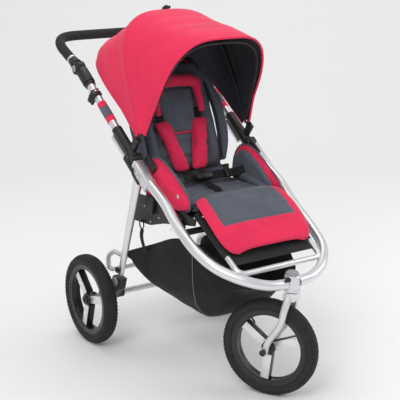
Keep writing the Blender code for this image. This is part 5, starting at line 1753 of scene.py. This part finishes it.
def build_stage(props):
    """Pale floor, soft studio lights and the camera."""
    mesh = bpy.data.meshes.new("floor")
    bm = bmesh.new()
    size, bend, wall = 7.0, 1.2, 4.0
    line = [Vector((0, -size, 0)), Vector((0, 2.6, 0))]
    for i in range(1, 13):
        a = math.pi / 2 * i / 12
        line.append(Vector((0, 2.6 + bend * math.sin(a), bend * (1 - math.cos(a)))))
    line.append(Vector((0, 2.6 + bend, wall)))
    rows = [[bm.verts.new(p + Vector((x, 0, 0))) for x in (-size, size)] for p in line]
    for a, b in zip(rows, rows[1:]):
        bm.faces.new((a[0], a[1], b[1], b[0]))
    bmesh.ops.rotate(bm, verts=bm.verts[:], cent=(0, 0, 0),
                     matrix=Matrix.Rotation(math.radians(-34.9), 3, "Z"))
    bm.to_mesh(mesh)
    bm.free()
    floor = bpy.data.objects.new("floor", mesh)
    MODEL.objects.link(floor)
    mesh.shade_smooth()
    tree, shader = base_material("studio_paper")
    tone = add_node(tree, "ShaderNodeTexNoise", Scale=3.0, Detail=2.0)
    ramp = tree.nodes.new("ShaderNodeValToRGB")
    ramp.color_ramp.elements[0].color = (0.90, 0.90, 0.905, 1)
    ramp.color_ramp.elements[1].color = (0.93, 0.93, 0.93, 1)
    link(tree, tone.outputs["Fac"], ramp.inputs["Fac"])
    link(tree, ramp.outputs["Color"], shader.inputs["Base Color"])
    shader.inputs["Roughness"].default_value = 0.75
    mesh.materials.append(MATS["studio_paper"])
    world = bpy.data.worlds.new("studio")
    world.use_nodes = True
    background = world.node_tree.nodes["Background"]
    background.inputs["Color"].default_value = (1.0, 1.0, 1.0, 1)
    background.inputs["Strength"].default_value = props.fill_light
    bpy.context.scene.world = world
    target = Vector(LIGHT_TARGET)
    for name, spot, size, power, tone in (
            ("key_light", (-2.6, -2.2, 3.4), 2.4, props.key_power, (1.0, 0.99, 0.97)),
            ("side_light", (2.8, -1.8, 2.2), 2.2, props.key_power * 0.42, (0.97, 0.98, 1.0)),
            ("top_light", (0.2, 0.8, 3.8), 2.6, props.key_power * 0.5, (1.0, 1.0, 1.0))):
        data = bpy.data.lights.new(name, "AREA")
        data.shape = "DISK"
        data.size = size
        data.energy = power
        data.color = tone
        lamp = bpy.data.objects.new(name, data)
        lamp.location = spot
        lamp.rotation_euler = (target - Vector(spot)).to_track_quat("-Z", "Y").to_euler()
        MODEL.objects.link(lamp)
    data = bpy.data.cameras.new("camera")
    data.lens = CAMERA_LENS
    camera = bpy.data.objects.new("camera", data)
    camera.location = CAMERA_PLACE
    aim = Vector(CAMERA_TARGET) - Vector(camera.location)
    camera.rotation_euler = aim.to_track_quat("-Z", "Y").to_euler()
    MODEL.objects.link(camera)
    bpy.context.scene.camera = camera
    bpy.context.scene.view_settings.view_transform = "Standard"


# ---- settings and operators ----------------------------------------------
class StrollerColours(bpy.types.PropertyGroup):
    """Colours and small sizes of the finished stroller"""

    pink_cloth: bpy.props.FloatVectorProperty(
        name="Hood and trim", description="Colour of the hood, wings and pads",
        subtype="COLOR", size=3, min=0.0, max=1.0, default=(0.82, 0.028, 0.100))
    grey_cloth: bpy.props.FloatVectorProperty(
        name="Seat cloth", description="Colour of the quilted seat",
        subtype="COLOR", size=3, min=0.0, max=1.0, default=(0.115, 0.130, 0.165))
    tread_blocks: bpy.props.IntProperty(
        name="Tread blocks", description="Blocks around each tyre", min=20, max=120,
        default=72)
    rear_spoke_turn: bpy.props.FloatProperty(
        name="Rear spoke turn", description="Resting angle of the rear spokes in degrees",
        default=14.0)
    front_spoke_turn: bpy.props.FloatProperty(
        name="Front spoke turn", description="Resting angle of the front spokes in degrees",
        default=23.0)
    key_power: bpy.props.FloatProperty(
        name="Key light", description="Power of the main soft light", unit="POWER",
        min=0.0, default=62.0)
    fill_light: bpy.props.FloatProperty(
        name="Fill", description="Strength of the even studio light", min=0.0, default=0.62)


class STROLLER_OT_finishes(bpy.types.Operator):
    """Make every finish and repaint the plain parts"""

    bl_idname = "stroller.finishes"
    bl_label = "Finishes"

    def execute(self, context):
        make_materials(context.scene.stroller_colours)
        return {"FINISHED"}


class STROLLER_OT_hood(bpy.types.Operator):
    """Sew the hood over its bows"""

    bl_idname = "stroller.hood"
    bl_label = "Hood"

    def execute(self, context):
        build_hood()
        return {"FINISHED"}


class STROLLER_OT_seat(bpy.types.Operator):
    """Pad the seat"""

    bl_idname = "stroller.seat"
    bl_label = "Seat pad"

    def execute(self, context):
        build_seat_pad()
        return {"FINISHED"}


class STROLLER_OT_back(bpy.types.Operator):
    """Pad the backrest and the head roll"""

    bl_idname = "stroller.back"
    bl_label = "Back pad"

    def execute(self, context):
        build_back_pad()
        return {"FINISHED"}


class STROLLER_OT_harness(bpy.types.Operator):
    """Add the straps, their pads and the buckle"""

    bl_idname = "stroller.harness"
    bl_label = "Harness"

    def execute(self, context):
        build_harness()
        return {"FINISHED"}


class STROLLER_OT_wings(bpy.types.Operator):
    """Pad the wings beside the seat"""

    bl_idname = "stroller.wings"
    bl_label = "Side wings"

    def execute(self, context):
        build_wings()
        return {"FINISHED"}


class STROLLER_OT_apron(bpy.types.Operator):
    """Add the soft apron in front of the seat"""

    bl_idname = "stroller.apron"
    bl_label = "Leg apron"

    def execute(self, context):
        build_apron()
        return {"FINISHED"}


class STROLLER_OT_sling(bpy.types.Operator):
    """Stretch the sling on its bright tube"""

    bl_idname = "stroller.sling"
    bl_label = "Calf sling"

    def execute(self, context):
        build_sling()
        return {"FINISHED"}


class STROLLER_OT_basket(bpy.types.Operator):
    """Hang the storage basket"""

    bl_idname = "stroller.basket"
    bl_label = "Basket"

    def execute(self, context):
        build_basket()
        return {"FINISHED"}


class STROLLER_OT_wheels(bpy.types.Operator):
    """Build the tyres, rims and spokes"""

    bl_idname = "stroller.wheels"
    bl_label = "Wheels"

    def execute(self, context):
        build_wheels(context.scene.stroller_colours)
        return {"FINISHED"}


class STROLLER_OT_tubes(bpy.types.Operator):
    """Bend the bright tubes and the handle"""

    bl_idname = "stroller.tubes"
    bl_label = "Tubes"

    def execute(self, context):
        build_tubes()
        return {"FINISHED"}


class STROLLER_OT_fittings(bpy.types.Operator):
    """Add pivots, bands, rivets and caps"""

    bl_idname = "stroller.fittings"
    bl_label = "Fittings"

    def execute(self, context):
        build_fittings()
        return {"FINISHED"}


class STROLLER_OT_stage(bpy.types.Operator):
    """Lay the floor and set the lights and camera"""

    bl_idname = "stroller.stage"
    bl_label = "Stage"

    def execute(self, context):
        build_stage(context.scene.stroller_colours)
        return {"FINISHED"}


class STROLLER_PT_looks(bpy.types.Panel):
    """Sizes, colours and one button for each group of pieces"""

    bl_idname = "STROLLER_PT_looks"
    bl_label = "Stroller looks"
    bl_space_type = "VIEW_3D"
    bl_region_type = "UI"
    bl_category = "Stroller"

    def draw(self, context):
        column = self.layout.column()
        for key in StrollerColours.__annotations__:
            column.prop(context.scene.stroller_colours, key)
        for step in STEPS:
            column.operator(step.bl_idname)


STEPS = (
    STROLLER_OT_finishes,
    STROLLER_OT_hood,
    STROLLER_OT_seat,
    STROLLER_OT_back,
    STROLLER_OT_harness,
    STROLLER_OT_wings,
    STROLLER_OT_apron,
    STROLLER_OT_sling,
    STROLLER_OT_basket,
    STROLLER_OT_wheels,
    STROLLER_OT_tubes,
    STROLLER_OT_fittings,
    STROLLER_OT_stage,
)
CLASSES = (StrollerColours, *STEPS, STROLLER_PT_looks)


def register():
    """Make the settings, the operators and the panel known."""
    for cls in CLASSES:
        bpy.utils.register_class(cls)
    bpy.types.Scene.stroller_colours = bpy.props.PointerProperty(type=StrollerColours)


def unregister():
    """Take them away again."""
    del bpy.types.Scene.stroller_colours
    for cls in reversed(CLASSES):
        bpy.utils.unregister_class(cls)


def main():
    """Run every step in order."""
    register()
    for step in STEPS:
        group, label = step.bl_idname.split(".")
        getattr(getattr(bpy.ops, group), label)()


if __name__ == "__main__":
    main()
